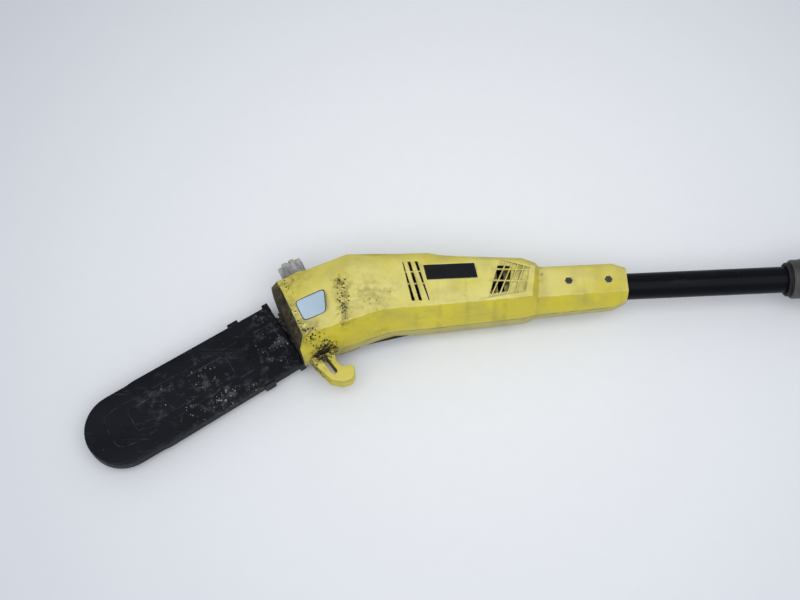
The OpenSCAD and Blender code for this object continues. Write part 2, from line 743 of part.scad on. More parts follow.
// Face gear, its teeth pointing down at the pinion
module face_gear() {
    pitch = 2 * PI * gear_r / gear_teeth;
    color([0.45, 0.45, 0.47]) place() translate([spindle_x, 0, 0]) difference() {
        union() {
            between(gear_tooth_root, gear_tooth_root + gear_disc_h, gear_r + gear_face + 0.8);
            between(lower_bearing_z + bearing_w + 0.3, gear_tooth_root + 1, spindle_r + 3);
            for (i = [0:gear_teeth - 1]) rotate([0, 0, i * 360 / gear_teeth])
                translate([gear_r - gear_face, 0, 0]) rotate([90, 0, 90]) linear_extrude(2 * gear_face)
                    polygon([[-0.2 * pitch, gear_tooth_root + 0.2], [-0.1 * pitch, gear_tooth_tip],
                        [0.1 * pitch, gear_tooth_tip], [0.2 * pitch, gear_tooth_root + 0.2]]);
        }
        between(-big, big, spindle_r);
    }
}

function pinion_point(i, r, w) = let (a = (i + 0.5) * 360 / pinion_teeth + w / r * 90 / PI)
    [r * cos(a), r * sin(a)];

module motor_pinion() {
    root = pinion_r - 1.1 * gear_module;
    color([0.5, 0.5, 0.52]) place() difference() {
        translate([pinion_x, 0, 0]) rotate([0, 90, 0])
            linear_extrude(2 * gear_face + 1.2) polygon([for (i = [0:pinion_teeth - 1])
                each [pinion_point(i, root, -2), pinion_point(i, pinion_tip_r, -0.8),
                    pinion_point(i, pinion_tip_r, 0.8), pinion_point(i, root, 2)]]);
        along_x(-big, big, motor_shaft_r);
    }
}

spindle_top = gear_case_top + 1.4;

module spindle() {
    color([0.7, 0.7, 0.72]) place() translate([spindle_x, 0, 0]) difference() {
        union() {
            between(bar_z - 9, gear_tooth_root + gear_disc_h, spindle_r);
            between(gear_tooth_root + gear_disc_h - 1, spindle_top, spindle_r - 1);
        }
        // Groove of the retaining clip
        ring_z(bar_z - 7.5, bar_z - 6.3, spindle_r + 1, spindle_r - 1);
    }
}

module bearing(r_out, r_in, w) {
    ring = (r_out - r_in) * 0.28;
    difference() {
        cylinder(r = r_out, h = w);
        translate([0, 0, -1]) cylinder(r = r_out - ring, h = w + 2);
    }
    difference() {
        cylinder(r = r_in + ring, h = w);
        translate([0, 0, -1]) cylinder(r = r_in, h = w + 2);
    }
    // Shield between the rings
    translate([0, 0, 0.6]) difference() {
        cylinder(r = r_out - ring, h = w - 1.2);
        translate([0, 0, -1]) cylinder(r = r_in + ring, h = w + 2);
    }
}

module spindle_bearings() {
    color([0.72, 0.73, 0.75]) place() translate([spindle_x, 0, 0]) {
        translate([0, 0, lower_bearing_z]) bearing(spindle_bearing_r, spindle_r + running_fit, bearing_w);
        translate([0, 0, gear_case_top + 0.1])
            bearing(upper_bearing_r, spindle_r - 1 + running_fit, 1.5);
    }
}

function sprocket_point(i, r, w) = let (a = (i + 0.5) * 360 / sprocket_teeth + w / r * 90 / PI)
    [r * cos(a), r * sin(a)];

module sprocket() {
    root = sprocket_r - 6.9;
    color([0.35, 0.35, 0.37]) place() bar_frame() difference() {
        union() {
            slab(bar_z - 4.5, bar_z + 4.5, [for (i = [0:sprocket_teeth - 1])
                each [sprocket_point(i, root, -7), sprocket_point(i, root + 3, -5.4),
                    sprocket_point(i, root + 3, 5.4), sprocket_point(i, root, 7)]]);
            between(bar_z - 6, bar_z + 5.4, root - 0.5);
        }
        between(-big, big, spindle_r);
    }
}

module sprocket_clip() {
    color([0.3, 0.3, 0.32]) place() translate([spindle_x, 0, 0]) difference() {
        ring_z(bar_z - 7.4, bar_z - 6.4, spindle_r + 2.4, spindle_r - 1);
        box([0, -1.6, bar_z - 8], [9, 1.6, bar_z - 6]);
    }
}

// ---------------------------------------------------------------- bar and chain

tail_r = sprocket_r - chain_rise;

function arc(c, r, a0, a1, n) = [for (i = [0:n]) let (a = a0 + (a1 - a0) * i / n) c + r * [cos(a), sin(a)]];

function bar_outline() = concat(arc([-nose_u, 0], bar_nose_r, 90 - path_tilt, 270 + path_tilt, 24),
    [[-bar_tail - 7, -tail_r - 0.35], [-bar_tail, -tail_r + 5], [-bar_tail, tail_r - 5],
        [-bar_tail - 7, tail_r + 0.35]]);

module guide_bar() {
    outline = bar_outline();
    color([0.66, 0.67, 0.68]) place() bar_frame() difference() {
        slab(bar_z - bar_thick / 2, bar_z + bar_thick / 2, outline);
        // Groove that the drive links run in
        difference() {
            slab(bar_z - 0.8, bar_z + 0.8, inset(outline, -1));
            slab(bar_z - 1, bar_z + 1, inset(outline, 5));
        }
        // Slot for the stud
        for (u = [stud_u - tension_travel, stud_u + 5]) between_at([-u, 0], -big, 0, stud_r + 0.15);
        box([-stud_u - 5, -stud_r - 0.15, -big], [-stud_u + tension_travel, stud_r + 0.15, 0]);
        between_at(pin_at, -big, 0, pin_r + 0.05);
        // Rivets' and lightening holes along the bar
        for (u = [90:32:nose_u - 30]) between_at([-u, 0], -big, 0, 3);
        for (a = [0:60:300])
            between_at([-nose_u, 0] + 9 * [cos(a), sin(a)], bar_z + bar_thick / 2 - 0.5, 0, 1.2);
    }
}

// Point on the chain's path at the distance s from the back of the sprocket
function wrapped(s) = s - floor(s / chain_length) * chain_length;
function path_point(q) = let (s = wrapped(q), s1 = sprocket_arc, s2 = s1 + path_run, s3 = s2 + nose_arc)
    s < s1 ? on_arc([0, 0], sprocket_r, path_tilt - 90, s)
    : s < s2 ? between_points(side_point(0, sprocket_r, 1), side_point(nose_u, nose_path_r, 1),
        (s - s1) / path_run)
    : s < s3 ? on_arc([-nose_u, 0], nose_path_r, 90 - path_tilt, s - s2)
    : between_points(side_point(nose_u, nose_path_r, -1), side_point(0, sprocket_r, -1), (s - s3) / path_run);
function on_arc(c, r, a0, s) = let (a = a0 + s / r * 180 / PI) c + r * [cos(a), sin(a)];
function between_points(a, b, t) = (1 - t) * a + t * b;
function side_point(u, r, side) = [-u + r * sin(path_tilt), side * r * cos(path_tilt)];

function rivet_at(j) = path_point(sprocket_arc / 2 + (j - 0.5) * chain_pitch);

module at_link(j) {
    a = rivet_at(j);
    b = rivet_at(j + 1);
    m = (a + b) / 2;
    translate([m.x, m.y, bar_z]) rotate([0, 0, atan2(b.y - a.y, b.x - a.x)]) mirror([0, 1, 0]) children();
}

half_link = chain_pitch / 2;
drive_link = [[-half_link - 2.6, -1.6], [-3.2, -2.6], [-1.6, -5.8], [1.2, -5.8], [3.2, -2.6],
    [half_link + 2.6, -1.6], [half_link + 2.6, 1.6], [half_link, 2.9], [-half_link, 2.9],
    [-half_link - 2.6, 1.6]];
strap_link = [[-half_link - 2.6, -1.6], [-half_link, -2.9], [half_link, -2.9], [half_link + 2.6, -1.6],
    [half_link + 2.6, 1.6], [half_link, 2.9], [-half_link, 2.9], [-half_link - 2.6, 1.6]];
cutter_link = [[-half_link - 2.6, -1.6], [-half_link, -2.9], [half_link, -2.9], [half_link + 2.6, -1.6],
    [half_link + 2.6, 6.4], [half_link - 2, 4.4], [half_link - 3, 2.4], [half_link - 5, 2.4],
    [half_link - 5.4, 6.9], [-half_link - 2.6, 5.8]];

module saw_chain() {
    color([0.5, 0.5, 0.5]) place() bar_frame() for (k = [0:drive_links - 1]) {
        at_link(2 * k) slab(-0.65, 0.65, drive_link);
        at_link(2 * k + 1) {
            side = k % 4 == 0 ? 1 : k % 4 == 2 ? -1 : 0;
            slab(0.65, 1.9, side == 1 ? cutter_link : strap_link);
            slab(-1.9, -0.65, side == -1 ? cutter_link : strap_link);
            if (side != 0) slab(side > 0 ? 0.9 : -3.2, side > 0 ? 3.2 : -0.9,
                [[-half_link - 2.6, 4.6], [half_link - 5.4, 5.6], [half_link - 5.4, 6.9],
                    [-half_link - 2.6, 5.8]]);
        }
        for (j = [2 * k, 2 * k + 1]) translate([rivet_at(j).x, rivet_at(j).y, bar_z - 2.4])
            cylinder(r = 1.7, h = 4.8);
    }
}

module sprocket_cover() {
    boss_r = 11.5;
    levels = [[cover_face_z, 16], [cover_face_z + 1, 14.4], [cover_joint_z - 11, 5], [cover_joint_z, 0.4]];
    hollow = [[cover_face_z + cover_wall, 16], [cover_joint_z - 11, 5.4], [cover_joint_z + 1, 0.4]];
    color([0.1, 0.1, 0.11]) place() difference() {
        union() {
            difference() {
                loft([for (l = levels) at_z(inset(cover_outline, l[1]), l[0])]);
                loft([for (l = hollow) at_z(inset(cover_outline, l[1] + cover_wall), l[0])]);
            }
            bar_frame() between_at([-stud_u, 0], cover_face_z + 1.6, bar_z - bar_thick / 2, boss_r);
        }
        bar_frame() {
            between_at([-stud_u, 0], cover_face_z - 1, bar_z, stud_r + 0.2);
            between_at([-stud_u, 0], cover_face_z - 1, cover_face_z + 7, boss_r - 2.5);
            // Mouth that the bar and chain leave by
            box([-front_wall - 14, -31, bar_z - 6.5], [-front_wall + 8, 31, cover_joint_z + 1]);
        }
    }
}

module bar_stud() {
    color([0.7, 0.7, 0.7]) place() bar_frame()
        between_at([-stud_u, 0], cover_face_z + 1, floor_top + 2, stud_r);
}

module bar_nut() {
    color([0.75, 0.75, 0.76]) place() bar_frame() translate([-stud_u, 0, cover_face_z + 0.6]) difference() {
        union() {
            translate([0, 0, 0]) cylinder(r = 7.5, h = 5.2, $fn = 6);
            translate([0, 0, 5]) cylinder(r = 8.6, h = 1.4);
        }
        translate([0, 0, -1]) cylinder(r = stud_r, h = 10);
    }
}

module tension_screw() {
    color([0.62, 0.62, 0.64]) place() bar_frame() translate([-25.5, tension_screw_y, tension_screw_z])
        rotate([0, -90, 0]) difference() {
            union() {
                cylinder(r = tension_screw_r, h = 22);
                translate([0, 0, 20.5]) cylinder(r = 2.7, h = 2.4);
            }
            box([-0.5, -5, 21.9], [0.5, 5, 24]);
        }
}

module tension_block() {
    color([0.55, 0.55, 0.57]) place() bar_frame() difference() {
        union() {
            box([pin_at.x - 1.5, pin_at.y - 3.2, pad_z + 0.4],
                [pin_at.x + 4.5, tension_screw_y - 3, floor_top + 0.6]);
            box([pin_at.x + 1, tension_screw_y - 3.5, chain_top],
                [pin_at.x + 4.5, tension_screw_y + 3.7, floor_top + 0.6]);
            between_at(pin_at, bar_z - bar_thick / 2, pad_z + 1, pin_r);
        }
        translate([-60, tension_screw_y, tension_screw_z]) rotate([0, 90, 0])
            cylinder(r = tension_screw_r + running_fit, h = 40);
    }
}

// ---------------------------------------------------------------- motor

module motor_stator() {
    color([0.4, 0.4, 0.42]) place() difference() {
        along_x(stator_front, stator_back, stator_r);
        along_x(stator_front - 1, stator_back + 1, armature_r + 0.6);
        // Flats and winding windows between the two poles
        for (s = [-1, 1]) {
            box([stator_front - 1, -12, s > 0 ? 14 : -20.5], [stator_back + 1, 12, s > 0 ? 20.5 : -14]);
            box([stator_front - 1, s > 0 ? stator_r - 2 : -stator_r - 1, -30],
                [stator_back + 1, s > 0 ? stator_r + 1 : -stator_r + 2, 30]);
        }
    }
}

module field_coils() {
    color([0.72, 0.42, 0.2]) place() for (x = [stator_front - coil_overhang, stator_back])
        for (s = [-1, 1]) difference() {
            ring_x(x, x + coil_overhang, armature_r + 8, armature_r + 1.5);
            box([x - 1, -40, s > 0 ? -40 : -7], [x + coil_overhang + 1, 40, s > 0 ? 7 : 40]);
        }
}

module armature() {
    color([0.55, 0.55, 0.57]) place() union() {
        along_x(pinion_x - 0.8, rear_bearing_x + bearing_w, motor_shaft_r);
        difference() {
            along_x(stator_front, stator_back, armature_r);
            for (i = [0:11]) rotate([i * 30, 0, 0])
                box([stator_front - 1, -1, armature_r - 1.2], [stator_back + 1, 1, 20]);
        }
        // Wound ends
        along_x(stator_front - 6, stator_front + 1, armature_r - 3);
        along_x(stator_back - 1, stator_back + 7, armature_r - 3);
    }
}

module commutator() {
    color([0.78, 0.48, 0.28]) place() difference() {
        along_x(commutator_x, commutator_x + commutator_length, commutator_r);
        along_x(commutator_x - 1, commutator_x + commutator_length + 1, motor_shaft_r);
        for (i = [0:11]) rotate([i * 30, 0, 0])
            box([commutator_x + 1.5, -0.3, commutator_r - 0.8], [commutator_x + 30, 0.3, 20]);
    }
}

module cooling_fan() {
    color([0.15, 0.15, 0.16]) place() difference() {
        union() {
            along_x(fan_back - 1.6, fan_back, fan_r);
            along_x(fan_front, fan_back, motor_shaft_r + 4);
            for (i = [0:9]) rotate([i * 36, 0, 0])
                box([fan_front + 1, -0.7, motor_shaft_r + 3], [fan_back - 1, 0.7, fan_r - 0.4]);
        }
        along_x(-big, big, motor_shaft_r);
    }
}

module motor_bearings() {
    color([0.72, 0.73, 0.75]) place() for (x = [nose_end - bearing_w, rear_bearing_x])
        translate([x, 0, 0]) rotate([0, 90, 0])
            bearing(motor_bearing_r, motor_shaft_r + running_fit, bearing_w);
}

holder_top = 24;

module brush_holders() {
    color([0.8, 0.65, 0.35]) place() for (s = [0, 180]) rotate([s, 0, 0]) difference() {
        union() {
            box([brush_x - 4, commutator_r + 1, -5], [brush_x + 4, holder_top, 5]);
            box([brush_x - 4, holder_top - 4, -8], [brush_x + 4, holder_top, 8]);
        }
        box([brush_x - 2.5, 0, -3.5], [brush_x + 2.5, holder_top - 1, 3.5]);
    }
}

module carbon_brushes() {
    color([0.16, 0.16, 0.17]) place() for (s = [0, 180]) rotate([s, 0, 0]) difference() {
        box([brush_x - 2.5, 0, -3.5], [brush_x + 2.5, holder_top - 7, 3.5]);
        along_x(-big, big, commutator_r + running_fit);
    }
}

terminal_x = [rear_bearing_x + bearing_w + 0.5, rear_bearing_x + bearing_w + 10];

module terminal_block() {
    color([0.85, 0.85, 0.82]) place() difference() {
        box([terminal_x[0], -9, -head_bottom + shell_wall], [terminal_x[1], 9, 4]);
        for (y = [-4.5, 4.5]) between_at([(terminal_x[0] + terminal_x[1]) / 2, y], 0, 5, 2);
    }
}

module head_screws() {
    color([0.45, 0.45, 0.46]) place() for (p = head_screws_at)
        translate([p.x, p.y, screw_seat(p)]) rotate([180, 0, 0])
            screw(screw_r + 1.4, 2.4, screw_r, 13 - screw_seat(p));
}

module neck_screws() {
    color([0.4, 0.4, 0.41]) place() for (x = neck_screw_x)
        translate([x, 0, neck_height - 4]) screw(3.6, 2.4, screw_r, 2 * neck_height - 8);
}

// ---------------------------------------------------------------- poles and lock

module upper_pole() {
    color([0.07, 0.07, 0.08]) place() difference() {
        ring_x(pole_start, pole_end, pole_r, pole_bore_r);
        for (x = neck_screw_x) between_at([x, 0], -big, big, screw_r);
    }
}

bush_plug = 15;

module pole_bush() {
    color([0.2, 0.2, 0.22]) place() difference() {
        union() {
            along_x(pole_end - bush_plug, pole_end, pole_bore_r);
            along_x(pole_end, pole_end + 4, lower_pole_bore_r - running_fit);
        }
        along_x(pole_end - bush_plug - 1, pole_end + 5, lead_r + 1.6);
    }
}

collet_r = pole_r + 2.9;

module collet() {
    color([0.08, 0.08, 0.08]) place() difference() {
        union() {
            rotate([0, 90, 0]) rotate_extrude() polygon([[pole_r + running_fit, lock_x + 0.6],
                [pole_r + 1, lock_x], [lock_nut_r - 5, lock_x], [lock_nut_r - 4, lock_x + 1],
                [lock_nut_r - 4, nut_x - moving_gap], [collet_r, nut_x - moving_gap], [collet_r, lower_pole_x],
                [pole_r + running_fit, lower_pole_x]]);
        }
        // Slits that let the collet grip the pole
        for (i = [0:5]) rotate([i * 60 + 30, 0, 0]) box([nut_x + 1, -0.8, 0], [lower_pole_x - 2, 0.8, 30]);
    }
}

module lock_base() {
    color([0.12, 0.12, 0.13]) place() union() {
        ring_x(lower_pole_x, nut_end + 10, lock_base_r, lower_pole_r);
        ring_x(nut_end + moving_gap, nut_end + 10, lock_nut_r - 1, lock_base_r);
    }
}

module lock_nut() {
    ribs = 18;
    color([0.55, 0.53, 0.5]) place() difference() {
        union() {
            rotate([0, 90, 0]) rotate_extrude()
                polygon([[collet_r + moving_gap, nut_x], [lock_nut_r - 2.6, nut_x],
                    [lock_nut_r - 1.2, nut_x + 2], [lock_nut_r - 1.2, nut_end - 2], [lock_nut_r - 2, nut_end],
                    [lock_base_r + moving_gap, nut_end], [lock_base_r + moving_gap, lower_pole_x - 1],
                    [collet_r + moving_gap, lower_pole_x - 2]]);
            for (i = [0:ribs - 1]) rotate([i * 360 / ribs, 0, 0]) translate([nut_x + 12, 0, lock_nut_r - 1.3])
                rotate([0, 90, 0]) cylinder(r = 1.2, h = nut_end - nut_x - 16);
        }
    }
}

module lower_pole() {
    color([0.08, 0.08, 0.09]) place() ring_x(lower_pole_x, lower_pole_end, lower_pole_r, lower_pole_bore_r);
}

// Coiled lead inside the poles, and its straight ends
module internal_lead() {
    side = 4.8;
    color([0.1, 0.1, 0.1]) place() {
        along_x(-12, handle_x + 96, lead_r);
        translate([0, side, 0]) along_x(terminal_x[1], -11, 2.4);
    }
}

module foam_grip() {
    x0 = foam_x;
    x1 = foam_x + foam_length;
    color([0.12, 0.12, 0.12]) place() rotate([0, 90, 0]) rotate_extrude() polygon(concat(
        [[lower_pole_r, x1], [lower_pole_r, x0], [foam_r - 2.5, x0], [foam_r - 0.8, x0 + 1], [foam_r, x0 + 3]],
        [for (i = [1:8]) each let (x = x0 + i * foam_length / 9)
            [[foam_r, x - 2.4], [foam_r - 1, x - 1.4], [foam_r - 1, x + 1.4], [foam_r, x + 2.4]]],
        [[foam_r, x1 - 3], [foam_r - 0.8, x1 - 1], [foam_r - 2.5, x1]]));
}

eye_w = 4;

module strap_clamp() {
    color([0.13, 0.13, 0.14]) place() difference() {
        union() {
            ring_x(clamp_x, clamp_x + clamp_w, clamp_r, lower_pole_r);
            // Ears of the clamp, on the side away from the strap ring
            box([clamp_x, -clamp_r - 9, -5.4], [clamp_x + clamp_w, -lower_pole_r - 2, 5.4]);
            // Eye that carries the strap ring
            translate([clamp_x + clamp_w / 2 - eye_w / 2, 0, 0]) rotate([0, 90, 0])
                linear_extrude(eye_w) hull() {
                translate([0, ring_y]) circle(r = 5.6);
                translate([0, clamp_r - 2]) circle(r = 8);
            }
        }
        along_x(clamp_x - 1, clamp_x + clamp_w + 1, lower_pole_r);
        translate([0, ring_y, 0]) along_x(clamp_x - 1, clamp_x + clamp_w + 1, strap_wire_r + 0.8);
        // Slit that the screw closes
        box([clamp_x - 1, -clamp_r - 10, -1], [clamp_x + clamp_w + 1, -lower_pole_r + 2, 1]);
        between_at([clamp_x + clamp_w / 2, -clamp_r - 4.5], -10, 10, 2.2);
    }
}

module clamp_screw() {
    color([0.7, 0.7, 0.71]) place() translate([clamp_x + clamp_w / 2, -clamp_r - 4.5, 5.4]) {
        screw(3.8, 3, 2.2, 14.6);
        translate([0, 0, -13.8]) difference() {
            cylinder(r = 4, h = 3, $fn = 6);
            translate([0, 0, -1]) cylinder(r = 2.2, h = 5);
        }
    }
}

module strap_ring() {
    color([0.75, 0.75, 0.76]) place() translate([clamp_x + clamp_w / 2, ring_y, -strap_ring_r])
        rotate([90, 0, 0]) rotate_extrude() translate([strap_ring_r, 0]) circle(r = strap_wire_r);
}

// ---------------------------------------------------------------- rear handle

handle_back = 25;                         // far edge of the grip by the button
handle_outline = soften([[0, -21.5], [58, -22], [78, -33], [92, -54], [112, -78], [140, -86],
    [handle_length - 54, -86],
    [handle_length - 22, -78], [handle_length - 6, -58], [handle_length - 1, -34], [handle_length - 2, -14],
    [handle_length - 18, 2], [handle_length - 63, 17], [168, handle_back], [108, handle_back],
    [92, 21.5], [0, 21.5]], 7, 3);
finger_gap = soften([[118, -62], [140, -68], [handle_length - 42, -68], [handle_length - 25, -54],
    [handle_length - 33, -38], [handle_length - 62, -27], [170, -20], [124, -21], [111, -32],
    [100, -46]], 7, 3);
handle_round = 4.5;
handle_screws_at = [[68, 12.5], [70, -15], [94, -34], [144, -77], [handle_length - 32, -71],
    [handle_length - 22, -9], [handle_length - 68, 8], [150, 16.4]];

inlet_face = handle_length - 3.2;
inlet_x = handle_length - 22;
flange_top = handle_back - handle_wall - moving_gap;
flange_h = 1.8;
shelf_y = flange_top - flange_h - button_travel - 4.8;

module handle_half() {
    w = handle_wall;
    inner = handle_half_w - 1;
    edge = handle_half_w - handle_round;
    difference() {
        union() {
            difference() {
                soft_slab(handle_outline, -2, handle_half_w, handle_round);
                slab(-3, handle_half_w - w, inset(handle_outline, w));
            }
            // Wall round the finger gap
            slab(-2, inner, inset(finger_gap, -w));
            for (p = handle_screws_at) between_at(p, -2, inner, screw_r + 2);
            // Ribs that hold the pole
            for (x = [4, 30, 54]) box([x, -20.5, -2], [x + 3, 20.5, edge + 1]);
            // Boss of the trigger's pin
            between_at(trigger_pivot, trigger_half_w + moving_gap, inner, 4.5);
            // Walls that hold the switch and the inlet
            box([151, -5, 9.4], [186, 10, inner]);
            // Shelf that both springs push on
            box([112, shelf_y - 2, -2], [151.5, shelf_y, inner]);
            box([handle_length - 27, -50, -2], [inlet_face - 1.5, -18, edge + 1]);
        }
        slab(-3, handle_half_w + 1, finger_gap);
        along_x(-1, 60, lower_pole_r);
        // Where the trigger comes through
        box([116, -40, -3], [154, -12, trigger_half_w + moving_gap]);
        between_at(trigger_pivot, -3, 14, 2);
        // Where the lock-off button comes through
        translate([button_at.x, button_at.y, 0]) rotate([-90, 0, 0])
            cylinder(r = button_r + moving_gap, h = 20);
        // Seat of the power inlet, and the flat that its flange lies on
        box([inlet_x, -48, -3], [handle_length + 12, -22, 12]);
        box([inlet_face, -70, -3], [handle_length + 12, 0, 30]);
        // The parting plane
        box([-9, -big, -9], [big, big, 0]);
    }
}

module handle_left() {
    color([0.1, 0.1, 0.11]) place() handle_frame() difference() {
        handle_half();
        for (p = handle_screws_at) between_at(p, -1, handle_half_w - 3, screw_r);
    }
}

module handle_right() {
    color([0.84, 0.81, 0.22]) place() handle_frame() difference() {
        mirror([0, 0, 1]) handle_half();
        for (p = handle_screws_at) {
            between_at(p, -handle_half_w - 1, 1, screw_r);
            between_at(p, -handle_half_w - 1, -handle_half_w + 3, screw_r + 1.5);
        }
    }
}

module handle_screws() {
    color([0.4, 0.4, 0.41]) place() handle_frame() for (p = handle_screws_at)
        translate([p.x, p.y, -handle_half_w + 3]) rotate([180, 0, 0])
            screw(screw_r + 1.4, 2.2, screw_r, 2 * handle_half_w - 7);
}

trigger_outline = [[106, -2], [110, 7], [120, 6], [142, 3.5], [150, -2], [151, -13], [147, -26], [139, -35],
    [131, -37.5], [128, -33], [131, -26], [128, -18], [120, -12], [109, -6]];

module trigger() {
    color([0.12, 0.12, 0.13]) place() handle_frame() difference() {
        translate([0, 0, -trigger_half_w]) soft_both(soften(trigger_outline, 1.6), 2 * trigger_half_w, 1.2);
        between_at(trigger_pivot, -20, 20, 2 + running_fit);
        // Seat of the return spring
        translate([143, 1, 0]) rotate([-90, 0, 0]) translate([0, 0, -1]) cylinder(r = 3.4, h = 10);
    }
}

// Outline of the height h with both edges rounded over c
module soft_both(p, h, c) {
    loft([at_z(inset(p, c), 0), at_z(p, c), at_z(p, h - c), at_z(inset(p, c), h)]);
}

module trigger_pin() {
    color([0.7, 0.7, 0.71]) place() handle_frame() between_at(trigger_pivot, -13.6, 13.6, 2);
}

module trigger_spring() {
    color([0.6, 0.6, 0.62]) place() handle_frame() translate([143, 0, 0]) rotate([-90, 0, 0])
        ring_z(0.4, shelf_y - 2, 2.6, 1.9);
}

module power_switch() {
    color([0.15, 0.15, 0.16]) place() handle_frame() {
        box([156, -5, -9.4], [182, 10, 9.4]);
        // Plunger that the trigger presses
        box([152.5, -2, -3], [156, 3, 3]);
    }
}

module lock_button() {
    color([0.75, 0.18, 0.12]) place() handle_frame() translate([button_at.x, 0, 0]) rotate([-90, 0, 0]) {
        between(flange_top - 1, handle_back + button_travel - 0.8, button_r);
        between(flange_top - flange_h, flange_top, button_r + 2);
    }
}

module button_spring() {
    color([0.6, 0.6, 0.62]) place() handle_frame() translate([button_at.x, 0, 0]) rotate([-90, 0, 0])
        ring_z(shelf_y, flange_top - flange_h, 3, 2.3);
}

module power_inlet() {
    color([0.07, 0.07, 0.08]) place() handle_frame() difference() {
        union() {
            box([inlet_x, -48, -12], [inlet_face + 1, -22, 12]);
            box([inlet_face, -51, -14], [handle_length, -19, 14]);
        }
        // Socket for the lead's connector
        box([inlet_x + 6, -44.5, -8.5], [handle_length + 1, -25.5, 8.5]);
    }
}

module inlet_pins() {
    color([0.85, 0.75, 0.4]) place() handle_frame() for (y = [-40, -30])
        translate([0, y, 0]) along_x(inlet_x + 6, inlet_x + 18, 1.2);
}

pad_outline = soften([[158, 12], [handle_length - 62, 1], [handle_length - 28, -14], [handle_length - 22, -20],
    [handle_length - 32, -28], [handle_length - 62, -12], [168, -6]], 4);

module grip_pad() {
    color([0.16, 0.16, 0.17]) place() handle_frame() for (s = [0, 1]) mirror([0, 0, s])
        translate([0, 0, handle_half_w]) soft_slab(pad_outline, 0, 1.6, 1);
}

// ---------------------------------------------------------------- scabbard

shoulder_u = 222;
function scabbard_shape() = concat(
    arc([-scabbard_tip_u, 0], scabbard_tip_r, 90, 270, 24),
    [[-shoulder_u - 8, -scabbard_tip_r], [-shoulder_u, -scabbard_tip_r - 0.9],
        [-scabbard_mouth, -scabbard_half_w],
        [-scabbard_mouth, scabbard_half_w], [-shoulder_u, scabbard_tip_r + 0.9],
        [-shoulder_u - 8, scabbard_tip_r]]);
// Raised panel on each face, the plain recess in it and the square recess by the mouth
plateau = soften([[-268, -14], [-262, -20], [-248, -22], [-108.5, -18.4], [-108.5, 18.4], [-248, 22],
    [-262, 20], [-268, 14]], 2, 3);
plateau_recess = soften([[-242, -12.6], [-128, -12.6], [-128, 12.6], [-242, 12.6]], 3.4, 3);
mouth_recess = soften([[-89, -20.5], [-69, -17.5], [-69, 16.5], [-89, 18.5]], 1.6, 2);

module scabbard() {
    shape = scabbard_shape();
    c = 2.4;
    w = scabbard_wall;
    color([0.07, 0.07, 0.08]) place() bar_frame() difference() {
        union() {
            difference() {
                union() {
                    loft([at_z(inset(shape, c), scabbard_z0),
                        at_z(inset(shape, 0.3 * c), scabbard_z0 + 0.3 * c),
                        at_z(shape, scabbard_z0 + c), at_z(shape, scabbard_z1 - c),
                        at_z(inset(shape, 0.3 * c), scabbard_z1 - 0.3 * c),
                        at_z(inset(shape, c), scabbard_z1)]);
                    for (s = [-1, 1]) {
                        // Clips on the edges and the lip of the mouth
                        box([-109, s > 0 ? 30 : -scabbard_half_w - 3.2, scabbard_z0 + 2],
                            [-97, s > 0 ? scabbard_half_w + 3.2 : -30, scabbard_z1 - 1]);
                        box([-scabbard_mouth - 6.5, s > 0 ? 30 : -scabbard_half_w - 2.6, scabbard_z0 + 1],
                            [-scabbard_mouth, s > 0 ? scabbard_half_w + 2.6 : -30, scabbard_z1 - 0.4]);
                    }
                }
                slab(scabbard_z0 + w, scabbard_z1 - w, inset(shape, w));
                box([-scabbard_mouth - w - 1, -scabbard_half_w + w, scabbard_z0 + w],
                    [0, scabbard_half_w - w, scabbard_z1 - w]);
            }
            for (s = [0, 1]) translate([0, 0, s * 2 * bar_z]) mirror([0, 0, s])
                slab(scabbard_z1 - 0.2, scabbard_z1 + 0.7, plateau);
            // Ribs inside that run just clear of the chain
            for (s = [0, 1]) translate([0, 0, s * 2 * bar_z]) mirror([0, 0, s])
                box([-nose_u + 30, -2, chain_top], [-scabbard_mouth - 20, 2, scabbard_z1 - 1]);
        }
        for (s = [0, 1]) translate([0, 0, s * 2 * bar_z]) mirror([0, 0, s]) {
            slab(scabbard_z1 - 0.3, scabbard_z1 + 5, plateau_recess);
            slab(scabbard_z1 - 1, scabbard_z1 + 5, mouth_recess);
        }
    }
}

head_shell_upper();
head_shell_lower();
branch_hook();
badge_plate();
oil_tank();
oil_cap_seal();
oil_cap();
oil_pump();
oil_pipe();
gear_case();
gear_cover();
gear_cover_screws();
face_gear();
motor_pinion();
spindle();
spindle_bearings();
sprocket();
sprocket_clip();
guide_bar();
saw_chain();
sprocket_cover();
bar_stud();
bar_nut();
tension_screw();
tension_block();
motor_stator();
field_coils();
armature();
commutator();
cooling_fan();
motor_bearings();
brush_holders();
carbon_brushes();
terminal_block();
head_screws();
neck_screws();
upper_pole();
pole_bush();
collet();
lock_base();
lock_nut();
lower_pole();
internal_lead();
foam_grip();
strap_clamp();
clamp_screw();
strap_ring();
handle_left();
handle_right();
trigger();
trigger_pin();
trigger_spring();
lock_button();
button_spring();
power_switch();
power_inlet();
inlet_pins();
handle_screws();
grip_pad();
scabbard();
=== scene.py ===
import json
import math

